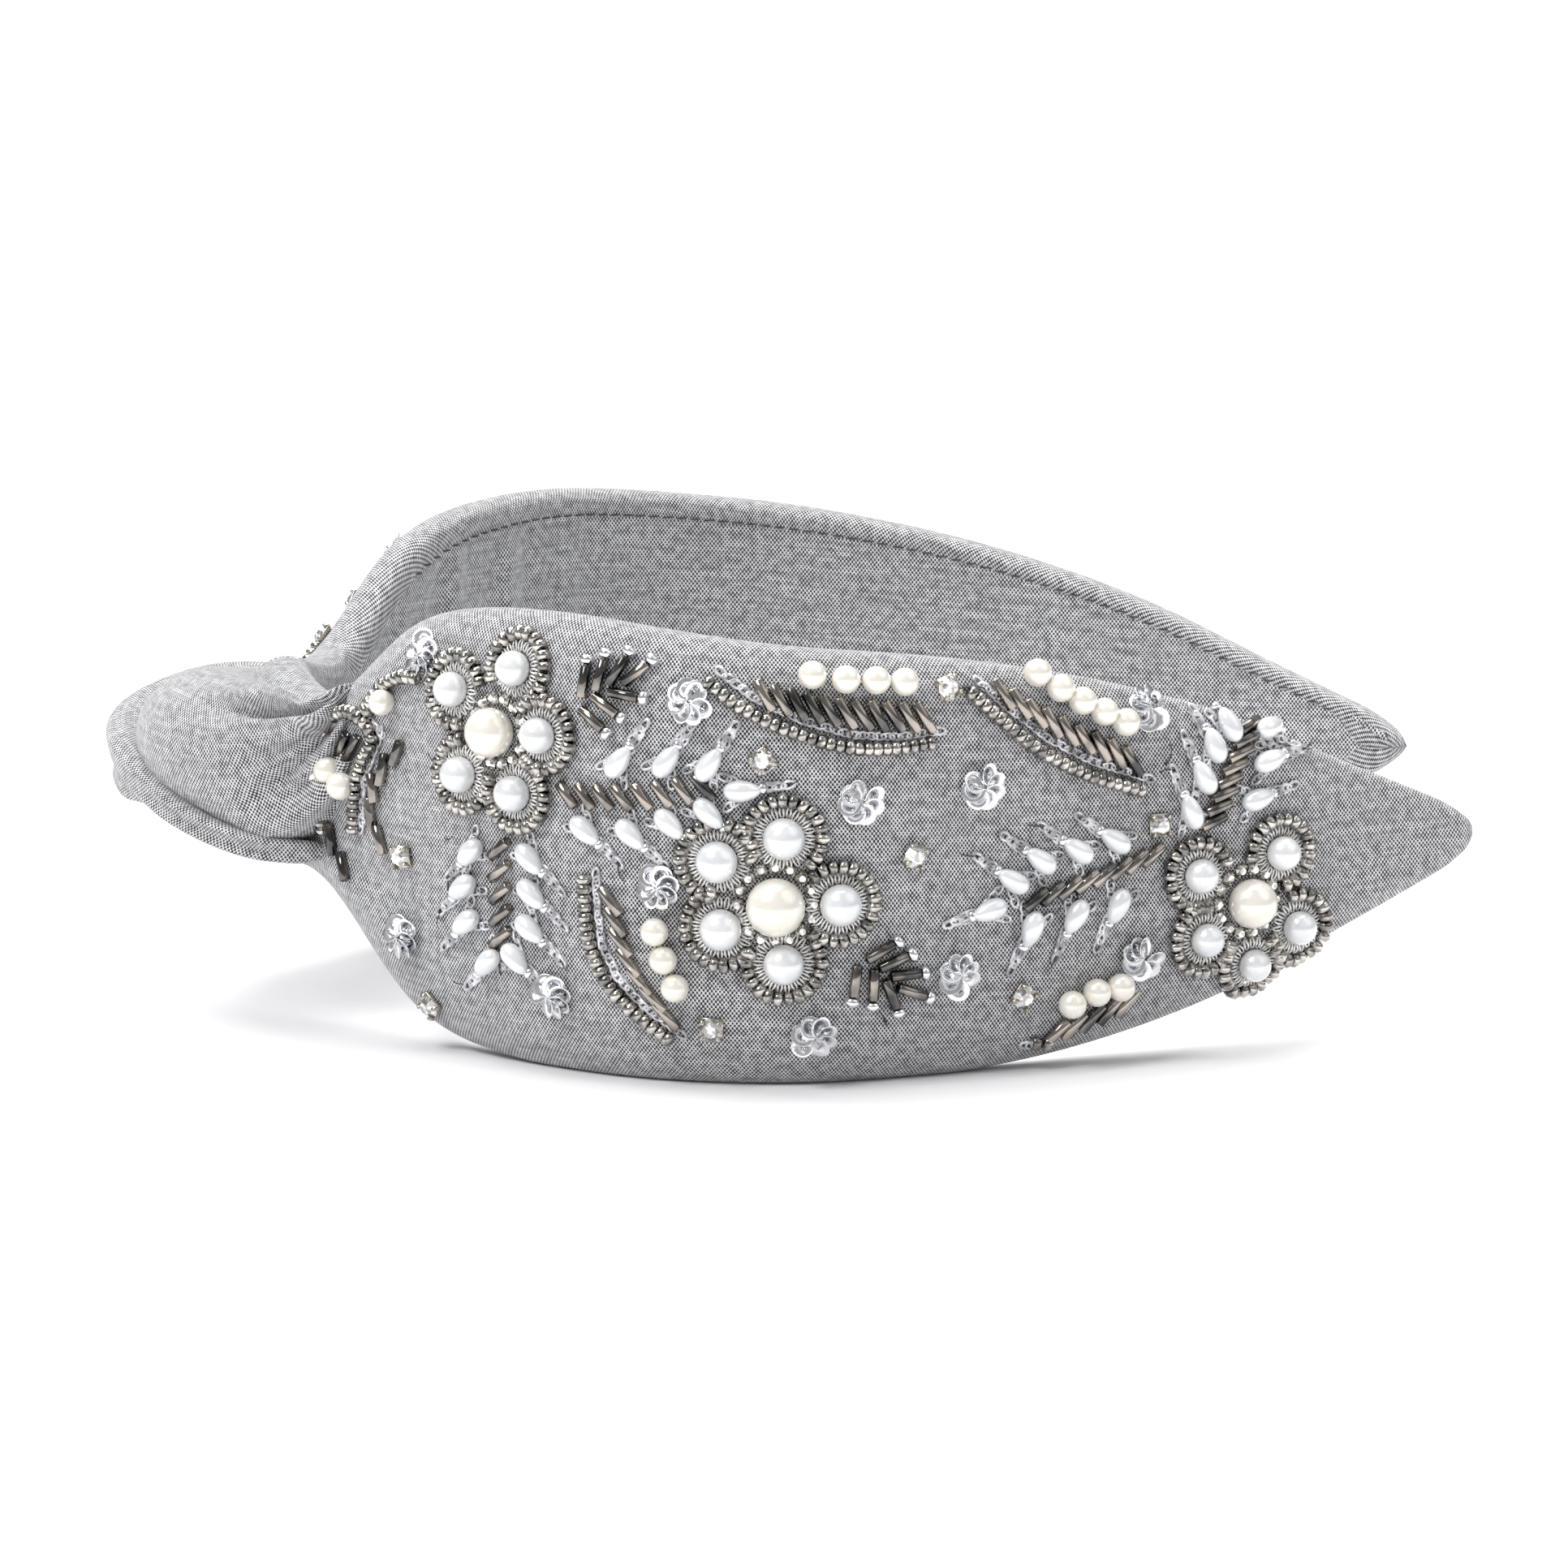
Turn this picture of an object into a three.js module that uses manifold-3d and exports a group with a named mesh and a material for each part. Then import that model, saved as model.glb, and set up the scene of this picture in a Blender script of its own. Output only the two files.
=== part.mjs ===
// A knotted, padded headband lying on its side: two fabric arms over foam, a plastic spring core,
// a lining, a fabric knot at the crown, and pearl flowers and rhinestones sewn to both arms.
// Millimetres, +Z up. +X runs from the crown to the tips, and the near arm is on the -Y side.
import * as THREE from 'three';
import { mergeVertices } from 'three/addons/utils/BufferGeometryUtils.js';
import Module from 'manifold-3d';

const wasm = await Module();
wasm.setup();

// Plan of one arm, seen from above: crown at the origin, widest at the shoulder, then in to the tip.
const ARM_PLAN = [
  [0, 0], [5, 15], [27, 43], [42, 54.5], [58, 58], [78, 53], [110, 41.5], [142.5, 29.5],
];

// Upper and lower edge of the arm at some distances from the crown.
const EDGE_AT = [0, 18, 35, 53, 88, 106, 124, 142, 159, 177];
const UPPER_EDGE = [42, 40, 51.5, 54.6, 52, 49.8, 46.2, 40.7, 33.3, 25.5];
const LOWER_EDGE = [17, 17, 3.6, 0, 0, 0, 2.2, 6.8, 13.9, 21.9];

// Layers, as distances outward from the plan curve.
const INNER_FACE = -2.2;
const OUTER_RIM = 0.6;
const DOME = { crown: 5.5, tip: 2.2, taperFrom: 90 };
const CLOTH = 1;
const GAP = 0.3;
const LINING_THICKNESS = 0.7;
const CORE = { inner: INNER_FACE + 1.0, thickness: 1.6, inset: 0.3 };
const HEM = { crown: 4.5, tip: 2 };

// Stations along an arm: the covers start at COVER_FROM, and all layers share the same stations.
const STATIONS = 28;
const COVER_FROM = 3;
const FOAM_TO = 24;
const FOAM_INSET = 3.5;
const CORE_TO = 26;
const LINING_TO = 27;
const ROWS = 6;

const PEARL = { around: 10, rings: 4, sunk: 0.5 };
const FLOWERS = [
  {
    name: 'crown_flower', along: 51.2, up: 40.5, centre: 3, petal: 2.2,
    petals: [[3, 8], [64, 8.3], [148, 7.7], [226, 7.8], [300, 8]],
  },
  {
    name: 'middle_flower', along: 84.1, up: 22.4, centre: 3.5, petal: 2.5,
    petals: [[0, 7.7], [83, 8.1], [141, 8.3], [205, 6.6], [279, 6.9]],
  },
  {
    name: 'tip_flower', along: 144, up: 18.2, centre: 3, petal: 2.1,
    petals: [[-29, 7.3], [57, 6.7], [151, 7.9], [211, 7.6], [275, 7.3]],
  },
];
const RHINESTONE = { radius: 1.95, girdle: 1.2, height: 2.1, table: 1.2, sides: 8 };
const RHINESTONES_AT = [
  [36.5, 23.5], [40, 6], [77.5, 7.5], [83, 39.5], [99, 27.5], [104, 46.5], [113.5, 9.5], [131.5, 28.5],
];
const STITCH = 0.35;

const KNOT = { back: 1.2, reach: 40, stations: 2.7 };
const UPPER_LOOP = { centre: [-8, 0, 32], radii: [14.5, 27, 11.4] };
const LOWER_FOLD = { centre: [-6.5, 0, 23], radii: [12.5, 25, 6.2] };

const ARMS = { near: -1, far: 1 };

const material = (color, roughness, metalness = 0) =>
  new THREE.MeshStandardMaterial({ color, roughness, metalness });
const CHAMBRAY = material(0x94969b, 0.85);
const LINING_CLOTH = material(0xa0a2a7, 0.85);
const FOAM = material(0xf1efe8, 0.95);
const PLASTIC = material(0x2c2c2e, 0.45);
const IVORY_PEARL = material(0xefe9dc, 0.22);
const WHITE_PEARL = material(0xe8eaee, 0.22);
const CRYSTAL = material(0xdfe3e6, 0.05, 0.3);

const plan = makePlan();
const ARM_LENGTH = plan.getLength() / 2;
const upperEdge = edgeCurve(UPPER_EDGE);
const lowerEdge = edgeCurve(LOWER_EDGE);

/** The band's centreline from the near tip round the crown to the far tip. */
function makePlan() {
  const far = ARM_PLAN.map(([x, y]) => new THREE.Vector3(x, y, 0));
  const near = ARM_PLAN.slice(1).reverse().map(([x, y]) => new THREE.Vector3(x, -y, 0));
  return new THREE.CatmullRomCurve3([...near, ...far]);
}

/** A smooth height against distance from the crown, never below the floor. */
function edgeCurve(heights) {
  const curve = new THREE.CubicInterpolant(EDGE_AT, heights, 1);
  return (distance) => Math.max(0, curve.evaluate(distance)[0]);
}

/** How far the padded outer face stands out, from -1 at the lower edge to 1 at the upper. */
function domeAt(distance, across) {
  const taper = THREE.MathUtils.smoothstep(distance, DOME.taperFrom, ARM_LENGTH);
  const peak = THREE.MathUtils.lerp(DOME.crown, DOME.tip, taper);
  return OUTER_RIM + (peak - OUTER_RIM) * Math.sqrt(Math.max(0, 1 - across ** 4));
}

/** The width of the outer cloth turned over onto the inner face. */
function hemAt(distance) {
  return THREE.MathUtils.lerp(HEM.crown, HEM.tip, distance / ARM_LENGTH);
}

/** A point by distance from the crown (negative on the near arm), distance outward, and height. */
function onBand(along, outward, height) {
  const at = THREE.MathUtils.clamp(0.5 + along / (2 * ARM_LENGTH), 0, 1);
  const point = plan.getPointAt(at);
  const tangent = plan.getTangentAt(at);
  return new THREE.Vector3(point.x - tangent.y * outward, point.y + tangent.x * outward, height);
}

/** A point on an arm's outer face. */
function onFace(along, height) {
  const distance = Math.abs(along);
  const [low, high] = [lowerEdge(distance), upperEdge(distance)];
  const across = THREE.MathUtils.mapLinear(height, low, high, -1, 1);
  return onBand(along, domeAt(distance, across), height);
}

/** Drop all but positions, and share the corners that faces have in common. */
function weld(geometry) {
  geometry.deleteAttribute('normal');
  geometry.deleteAttribute('uv');
  const welded = mergeVertices(geometry);
  welded.computeVertexNormals();
  return welded;
}

/** A bent slab between two stations. layer(distance, across) gives inner, outer and inset. */
function slab(fromStation, toStation, layer, rows = ROWS) {
  const step = ARM_LENGTH / STATIONS;
  const geometry = new THREE.BoxGeometry(1, 1, 1, Math.ceil(toStation - fromStation), 1, rows);
  const corners = geometry.attributes.position;
  for (let i = 0; i < corners.count; i += 1) {
    const along = step * THREE.MathUtils.lerp(fromStation, toStation, corners.getX(i) + 0.5);
    const across = Math.sin(Math.PI * corners.getZ(i));
    const distance = Math.abs(along);
    const { inner, outer, inset } = layer(distance, across);
    const low = lowerEdge(distance) + inset;
    const high = upperEdge(distance) - inset;
    const height = THREE.MathUtils.mapLinear(across, -1, 1, low, high);
    const corner = onBand(along, corners.getY(i) < 0 ? inner : outer, height);
    corners.setXYZ(i, corner.x, corner.y, corner.z);
  }
  return weld(geometry);
}

/** A geometry as a solid that can be cut and joined. */
function toSolid(geometry) {
  const welded = weld(geometry.clone());
  return new wasm.Manifold(new wasm.Mesh({
    numProp: 3,
    vertProperties: new Float32Array(welded.attributes.position.array),
    triVerts: new Uint32Array(welded.index.array),
  }));
}

/** A solid back as a geometry. */
function toGeometry(solid) {
  const mesh = solid.getMesh();
  const geometry = new THREE.BufferGeometry();
  geometry.setAttribute('position', new THREE.BufferAttribute(mesh.vertProperties, 3));
  geometry.setIndex(new THREE.BufferAttribute(mesh.triVerts, 1));
  geometry.computeVertexNormals();
  return geometry;
}

/** Stations of one arm in rising order, so that the near arm's run from its tip to the crown. */
function stationsOf(side, from, to) {
  return side < 0 ? [-to, -from] : [from, to];
}

/** The outer cloth of one arm: domed outside, hemmed over both edges inside, open at the crown. */
function makeCover(side) {
  const shell = slab(...stationsOf(side, COVER_FROM, STATIONS), (distance, across) => ({
    inner: INNER_FACE, outer: domeAt(distance, across), inset: 0,
  }));
  const room = slab(...stationsOf(side, COVER_FROM - 1, STATIONS - 1), (distance, across) => ({
    inner: INNER_FACE + CLOTH, outer: domeAt(distance, across) - CLOTH, inset: CLOTH,
  }));
  const mouth = slab(...stationsOf(side, COVER_FROM - 1, STATIONS - 1), (distance) => ({
    inner: INNER_FACE - CLOTH, outer: INNER_FACE + 1.5 * CLOTH, inset: hemAt(distance),
  }));
  return toGeometry(toSolid(shell).subtract(toSolid(room)).subtract(toSolid(mouth)));
}

/** The foam of one arm, between the spring core and the outer cloth. */
function makeFoam(side) {
  const inner = CORE.inner + CORE.thickness + GAP;
  return slab(...stationsOf(side, COVER_FROM, FOAM_TO), (distance, across) => ({
    inner,
    outer: Math.max(inner + GAP, domeAt(distance, across) - CLOTH - 3 * GAP),
    inset: FOAM_INSET,
  }));
}

/** The plastic spring band that runs through both arms. */
function makeCore() {
  return slab(-CORE_TO, CORE_TO, (distance) => ({
    inner: CORE.inner,
    outer: CORE.inner + CORE.thickness,
    inset: CORE.inset * (upperEdge(distance) - lowerEdge(distance)),
  }), 2);
}

/** The lining, inside the hems of both covers. */
function makeLining() {
  return slab(-LINING_TO, LINING_TO, (distance) => ({
    inner: INNER_FACE,
    outer: INNER_FACE + LINING_THICKNESS,
    inset: hemAt(distance) + GAP,
  }), 2);
}

/** A ball stretched to three radii about a centre. */
function ball({ centre, radii }, swell = 0) {
  const geometry = new THREE.SphereGeometry(1, 20, 12);
  geometry.scale(...radii.map((radius) => radius + swell));
  geometry.translate(...centre);
  return toSolid(geometry);
}

/** The two fabric lobes of the knot, which fill the space outside the crown between the covers. */
function makeKnot() {
  const space = toSolid(slab(-KNOT.stations, KNOT.stations, () => ({
    inner: KNOT.back, outer: KNOT.reach, inset: -KNOT.reach,
  })));
  const upper = ball(UPPER_LOOP).intersect(space);
  const lower = ball(LOWER_FOLD).intersect(space).subtract(ball(UPPER_LOOP, GAP));
  return { upper: toGeometry(upper), lower: toGeometry(lower) };
}

/** A flat-backed pearl standing on its back, with its axis along Y. */
function makePearl(radius) {
  const profile = [new THREE.Vector2(0, 0)];
  const start = -Math.asin(PEARL.sunk);
  for (let i = 0; i < PEARL.rings; i += 1) {
    const angle = THREE.MathUtils.lerp(start, Math.PI / 2, i / PEARL.rings);
    profile.push(new THREE.Vector2(Math.cos(angle), PEARL.sunk + Math.sin(angle)).multiplyScalar(radius));
  }
  profile.push(new THREE.Vector2(0, (1 + PEARL.sunk) * radius));
  return weld(new THREE.LatheGeometry(profile, PEARL.around));
}

/** A faceted stone with a flat table on top, with its axis along Y. */
function makeRhinestone() {
  const { radius, girdle, height, table, sides } = RHINESTONE;
  const profile = [[0, 0], [radius, 0], [radius, girdle], [table, height], [0, height]];
  return weld(new THREE.LatheGeometry(profile.map(([x, y]) => new THREE.Vector2(x, y)), sides));
}

/** Lay a piece on an arm's outer face, standing along the face's normal. */
function sew(piece, side, along, up) {
  const signed = side * along;
  const run = onFace(signed + 1, up).sub(onFace(signed - 1, up));
  const rise = onFace(signed, up + 1).sub(onFace(signed, up - 1));
  const normal = new THREE.Vector3().crossVectors(rise, run).normalize();
  piece.position.copy(onFace(signed, up)).addScaledVector(normal, STITCH);
  piece.quaternion.setFromUnitVectors(new THREE.Vector3(0, 1, 0), normal);
}

/** How much longer the outer face is than the centreline at one place. */
function stretchAt(along, up) {
  return onFace(along + 0.5, up).distanceTo(onFace(along - 0.5, up));
}

/** One flower: a centre pearl and a ring of petal pearls. */
function addFlower(group, arm, flower) {
  const side = ARMS[arm];
  const centre = new THREE.Mesh(makePearl(flower.centre), IVORY_PEARL);
  centre.name = `${flower.name}_centre_${arm}`;
  sew(centre, side, flower.along, flower.up);
  group.add(centre);
  const stretch = stretchAt(flower.along, flower.up);
  flower.petals.forEach(([turn, reach], i) => {
    const angle = THREE.MathUtils.degToRad(turn);
    const petal = new THREE.Mesh(makePearl(flower.petal), WHITE_PEARL);
    petal.name = `${flower.name}_petal_${i + 1}_${arm}`;
    const along = flower.along + (reach * Math.cos(angle)) / stretch;
    sew(petal, side, along, flower.up + reach * Math.sin(angle));
    group.add(petal);
  });
}

/** One arm: cover, foam, flowers and rhinestones. */
function makeArm(arm) {
  const group = new THREE.Group();
  const side = ARMS[arm];
  const cover = new THREE.Mesh(makeCover(side), CHAMBRAY);
  cover.name = `outer_cover_${arm}`;
  const foam = new THREE.Mesh(makeFoam(side), FOAM);
  foam.name = `foam_pad_${arm}`;
  group.add(cover, foam);
  FLOWERS.forEach((flower) => addFlower(group, arm, flower));
  RHINESTONES_AT.forEach(([along, up], i) => {
    const stone = new THREE.Mesh(makeRhinestone(), CRYSTAL);
    stone.name = `rhinestone_${i + 1}_${arm}`;
    sew(stone, side, along, up);
    group.add(stone);
  });
  return group;
}

/** The spring core, the lining and the knot. */
function makeCrown() {
  const group = new THREE.Group();
  const knot = makeKnot();
  const pieces = [
    ['spring_core', makeCore(), PLASTIC],
    ['lining', makeLining(), LINING_CLOTH],
    ['knot_upper_loop', knot.upper, CHAMBRAY],
    ['knot_lower_fold', knot.lower, CHAMBRAY],
  ];
  for (const [name, geometry, finish] of pieces) {
    const mesh = new THREE.Mesh(geometry, finish);
    mesh.name = name;
    group.add(mesh);
  }
  return group;
}

const headband = new THREE.Group();
headband.add(makeCrown(), makeArm('near'), makeArm('far'));
const box = new THREE.Box3().setFromObject(headband, true);
headband.position.set(-(box.min.x + box.max.x) / 2, -(box.min.y + box.max.y) / 2, -box.min.z);

export default headband;
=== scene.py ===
"""Visual model of a knotted, beaded headband, built round its CAD frame.

Units are metres and +Z is up. +X runs from the knot at the crown to the two tips. "Along" is a
distance over an arm's centreline from the crown, and "up" is a height above the floor. Numbers
that a bead worker would give in millimetres are multiplied by MM where they are used.
"""

import logging
import math
import random
from collections.abc import Callable, Sequence
from dataclasses import dataclass, field
from enum import Enum

import bmesh
import bpy
import numpy as np
from mathutils import Matrix, Vector, noise


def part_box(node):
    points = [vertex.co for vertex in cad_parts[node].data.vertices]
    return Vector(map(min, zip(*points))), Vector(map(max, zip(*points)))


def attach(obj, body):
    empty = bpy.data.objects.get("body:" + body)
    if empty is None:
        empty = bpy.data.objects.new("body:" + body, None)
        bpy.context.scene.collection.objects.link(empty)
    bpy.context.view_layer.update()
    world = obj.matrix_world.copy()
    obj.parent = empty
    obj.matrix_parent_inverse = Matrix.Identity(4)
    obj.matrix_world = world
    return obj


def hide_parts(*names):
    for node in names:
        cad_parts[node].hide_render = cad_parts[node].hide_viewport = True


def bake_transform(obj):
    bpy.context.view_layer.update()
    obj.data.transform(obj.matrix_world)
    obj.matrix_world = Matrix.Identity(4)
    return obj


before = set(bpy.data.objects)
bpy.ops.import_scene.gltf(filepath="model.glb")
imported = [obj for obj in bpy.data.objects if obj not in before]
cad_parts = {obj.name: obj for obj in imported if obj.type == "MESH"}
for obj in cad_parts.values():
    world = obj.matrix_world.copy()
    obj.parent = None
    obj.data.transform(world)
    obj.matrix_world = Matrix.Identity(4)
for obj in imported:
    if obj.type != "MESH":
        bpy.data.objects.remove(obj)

MM = 0.001
SEED_GROWTH = 1.18  # A seed bead against its template.
PETAL_OUTLINE = 1.95  # From a petal pearl's edge to the middle of its seed outline, in mm.
PETAL_RAYS = 0.58  # From a petal pearl's edge to the middle of its purl wires, in mm.
log = logging.getLogger("headband")


class Side(Enum):
    """The two arms, by the sign of their Y."""

    NEAR = -1
    FAR = 1

    @property
    def label(self) -> str:
        """The word used in node and piece names."""
        return self.name.lower()

    @property
    def body(self) -> str:
        """The CAD body that the arm's pieces ride on."""
        return f"{self.label}_arm"


# --------------------------------------------------------------------------- finishes


class Nodes:
    """Short helpers for building one material's node tree."""

    def __init__(self, name: str) -> None:
        """Start a material with a Principled shader.

        Args:
            name: the material's name.
        """
        self.material = bpy.data.materials.new(name)
        self.material.use_nodes = True
        self.tree = self.material.node_tree
        self.shader = self.tree.nodes["Principled BSDF"]

    def add(self, kind: str, **settings: object) -> bpy.types.Node:
        """Add a node and set its properties.

        Args:
            kind: the node's Blender type.
            **settings: properties of the node.

        Returns:
            The new node.
        """
        node = self.tree.nodes.new(kind)
        for key, value in settings.items():
            setattr(node, key, value)
        return node

    def link(self, source: bpy.types.NodeSocket, target: bpy.types.NodeSocket) -> None:
        """Join two sockets."""
        self.tree.links.new(source, target)

    def math(self, operation: str, a: object, b: object = None) -> bpy.types.NodeSocket:
        """Add a Math node.

        Args:
            operation: the node's operation.
            a: first input, a socket or a number.
            b: second input, a socket, a number or nothing.

        Returns:
            The result's socket.
        """
        node = self.add("ShaderNodeMath", operation=operation)
        for socket, value in zip(node.inputs, (a, b), strict=False):
            if isinstance(value, bpy.types.NodeSocket):
                self.link(value, socket)
            elif value is not None:
                socket.default_value = value
        return node.outputs[0]

    def coords(self, output: str, scale: tuple[float, float, float] = (1, 1, 1)) -> bpy.types.NodeSocket:
        """Texture coordinates through a Mapping node.

        Args:
            output: "Object" or "UV".
            scale: how much each axis is multiplied by.

        Returns:
            The mapped vector's socket.
        """
        source = self.add("ShaderNodeTexCoord").outputs[output]
        mapping = self.add("ShaderNodeMapping")
        mapping.inputs["Scale"].default_value = scale
        self.link(source, mapping.inputs["Vector"])
        return mapping.outputs["Vector"]

    def noise(self, vector: bpy.types.NodeSocket, scale: float, detail: float = 3.0) -> bpy.types.NodeSocket:
        """Noise from 0 to 1.

        Args:
            vector: where it is read.
            scale: features per metre of the vector.
            detail: octaves.

        Returns:
            The factor's socket.
        """
        node = self.add("ShaderNodeTexNoise")
        node.inputs["Scale"].default_value = scale
        node.inputs["Detail"].default_value = detail
        self.link(vector, node.inputs["Vector"])
        return node.outputs["Fac"]

    def span(
        self, value: bpy.types.NodeSocket, low: float, high: float, to_low: float, to_high: float
    ) -> bpy.types.NodeSocket:
        """Map one range to another, held at the ends.

        Args:
            value: the input.
            low: input that gives to_low.
            high: input that gives to_high.
            to_low: output at low.
            to_high: output at high.

        Returns:
            The result's socket.
        """
        node = self.add("ShaderNodeMapRange", interpolation_type="SMOOTHSTEP")
        for name, number in (("From Min", low), ("From Max", high), ("To Min", to_low), ("To Max", to_high)):
            node.inputs[name].default_value = number
        self.link(value, node.inputs["Value"])
        return node.outputs["Result"]

    def blend(
        self, factor: bpy.types.NodeSocket, a: Sequence[float], b: Sequence[float]
    ) -> bpy.types.NodeSocket:
        """Mix two colours.

        Args:
            factor: 0 gives a and 1 gives b.
            a: first colour.
            b: second colour.

        Returns:
            The colour's socket.
        """
        node = self.add("ShaderNodeMix", data_type="RGBA")
        node.inputs[6].default_value = (*a, 1)
        node.inputs[7].default_value = (*b, 1)
        self.link(factor, node.inputs[0])
        return node.outputs[2]

    def bump(self, height: bpy.types.NodeSocket, distance: float, strength: float = 1.0) -> None:
        """Raise the surface by a height.

        Args:
            height: from 0 to 1.
            distance: what a height of 1 stands for, in metres.
            strength: how strongly it is applied.
        """
        node = self.add("ShaderNodeBump")
        node.inputs["Distance"].default_value = distance
        node.inputs["Strength"].default_value = strength
        self.link(height, node.inputs["Height"])
        self.link(node.outputs["Normal"], self.shader.inputs["Normal"])

    def put(self, **values: float | tuple) -> None:
        """Set constants on the shader, with _ for a space in each name."""
        for name, value in values.items():
            self.shader.inputs[name.replace("_", " ")].default_value = value


@dataclass(frozen=True)
class Chambray:
    """Plain-woven cloth with light warp over dark weft."""

    name: str = "chambray"
    cell: float = 0.31 * MM
    warp: tuple[float, float, float] = (0.80, 0.80, 0.82)
    weft: tuple[float, float, float] = (0.008, 0.008, 0.010)

    def make(self) -> bpy.types.Material:
        """Build the material, which reads the piece's UV map in metres."""
        n = Nodes(self.name)
        uv = n.coords("UV")
        parts = n.add("ShaderNodeSeparateXYZ")
        n.link(uv, parts.inputs[0])
        wave = math.pi / self.cell
        wander = n.math("MULTIPLY", n.math("SUBTRACT", n.noise(uv, 260.0), 0.5), 3.0)
        across = n.math("SINE", n.math("ADD", n.math("MULTIPLY", parts.outputs[0], wave * 1.25), wander))
        down = n.math("SINE", n.math("ADD", n.math("MULTIPLY", parts.outputs[1], wave), wander))
        over = n.math("MULTIPLY", across, down)
        slub_warp = n.noise(n.coords("UV", (90, 2200, 1)), 1.0, 2.0)
        slub_weft = n.noise(n.coords("UV", (2200, 90, 1)), 1.0, 2.0)
        patch = n.noise(uv, 900.0, 2.0)
        share = n.span(n.math("ADD", over, n.math("SUBTRACT", patch, 0.5)), -0.16, 0.12, 0.0, 1.0)
        cloth = n.add("ShaderNodeMix", data_type="RGBA")
        n.link(share, cloth.inputs[0])
        n.link(n.blend(n.span(slub_weft, 0.3, 0.7, 0, 1), self.weft, (0.04, 0.04, 0.045)), cloth.inputs[6])
        n.link(n.blend(n.span(slub_warp, 0.3, 0.7, 0, 1), (0.60, 0.60, 0.62), self.warp), cloth.inputs[7])
        n.link(cloth.outputs[2], n.shader.inputs["Base Color"])
        n.bump(n.math("ABSOLUTE", over), 0.08 * MM, 0.8)
        n.put(Roughness=0.62, Sheen_Weight=0.4, Sheen_Roughness=0.45, Specular_IOR_Level=0.35)
        return n.material


@dataclass(frozen=True)
class PearlLacquer:
    """Glossy pearl coating with a soft colour shift."""

    name: str
    body: tuple[float, float, float]
    shade: tuple[float, float, float]

    def make(self) -> bpy.types.Material:
        """Build the material."""
        n = Nodes(self.name)
        cloud = n.span(n.noise(n.coords("Object"), 320.0, 2.0), 0.35, 0.65, 0, 1)
        n.link(n.blend(cloud, self.body, self.shade), n.shader.inputs["Base Color"])
        n.link(n.span(n.noise(n.coords("Object"), 900.0), 0.3, 0.7, 0.18, 0.28), n.shader.inputs["Roughness"])
        n.put(Metallic=0.25, Coat_Weight=0.7, Coat_Roughness=0.1, Specular_IOR_Level=0.6)
        return n.material


@dataclass(frozen=True)
class Metal:
    """A plated or lustred surface with small changes of tone."""

    name: str
    light: tuple[float, float, float]
    dark: tuple[float, float, float]
    rough: tuple[float, float]
    metallic: float = 1.0
    grain: float = 700.0

    def make(self) -> bpy.types.Material:
        """Build the material."""
        n = Nodes(self.name)
        spots = n.noise(n.coords("Object"), self.grain)
        n.link(n.blend(n.span(spots, 0.35, 0.65, 0, 1), self.dark, self.light), n.shader.inputs["Base Color"])
        fine = n.noise(n.coords("Object"), self.grain * 3)
        n.link(n.span(fine, 0.3, 0.7, *self.rough), n.shader.inputs["Roughness"])
        n.put(Metallic=self.metallic, Coat_Weight=0.15, Coat_Roughness=0.05)
        return n.material


@dataclass(frozen=True)
class Stone:
    """A clear faceted stone with a foil back."""

    name: str = "crystal"

    def make(self) -> bpy.types.Material:
        """Build the material."""
        n = Nodes(self.name)
        # Painted glints: noise patches of near white and dark grey in the colour stand in for facet
        # reflections.
        painted_flash = n.span(n.noise(n.coords("Object"), 1500.0, 1.0), 0.42, 0.58, 0, 1)
        n.link(n.blend(painted_flash, (0.40, 0.39, 0.38), (0.97, 0.97, 0.96)), n.shader.inputs["Base Color"])
        n.put(Metallic=0.85, Roughness=0.04, Coat_Weight=1.0, Coat_Roughness=0.01, Coat_IOR=1.7)
        return n.material


@dataclass(frozen=True)
class Plain:
    """Foam or moulded plastic with a fine grain."""

    name: str
    light: tuple[float, float, float]
    dark: tuple[float, float, float]
    rough: float
    grain: float
    depth: float

    def make(self) -> bpy.types.Material:
        """Build the material."""
        n = Nodes(self.name)
        grain = n.noise(n.coords("Object"), self.grain)
        n.link(n.blend(n.span(grain, 0.35, 0.65, 0, 1), self.dark, self.light), n.shader.inputs["Base Color"])
        n.bump(grain, self.depth)
        n.put(Roughness=self.rough)
        return n.material


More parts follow.
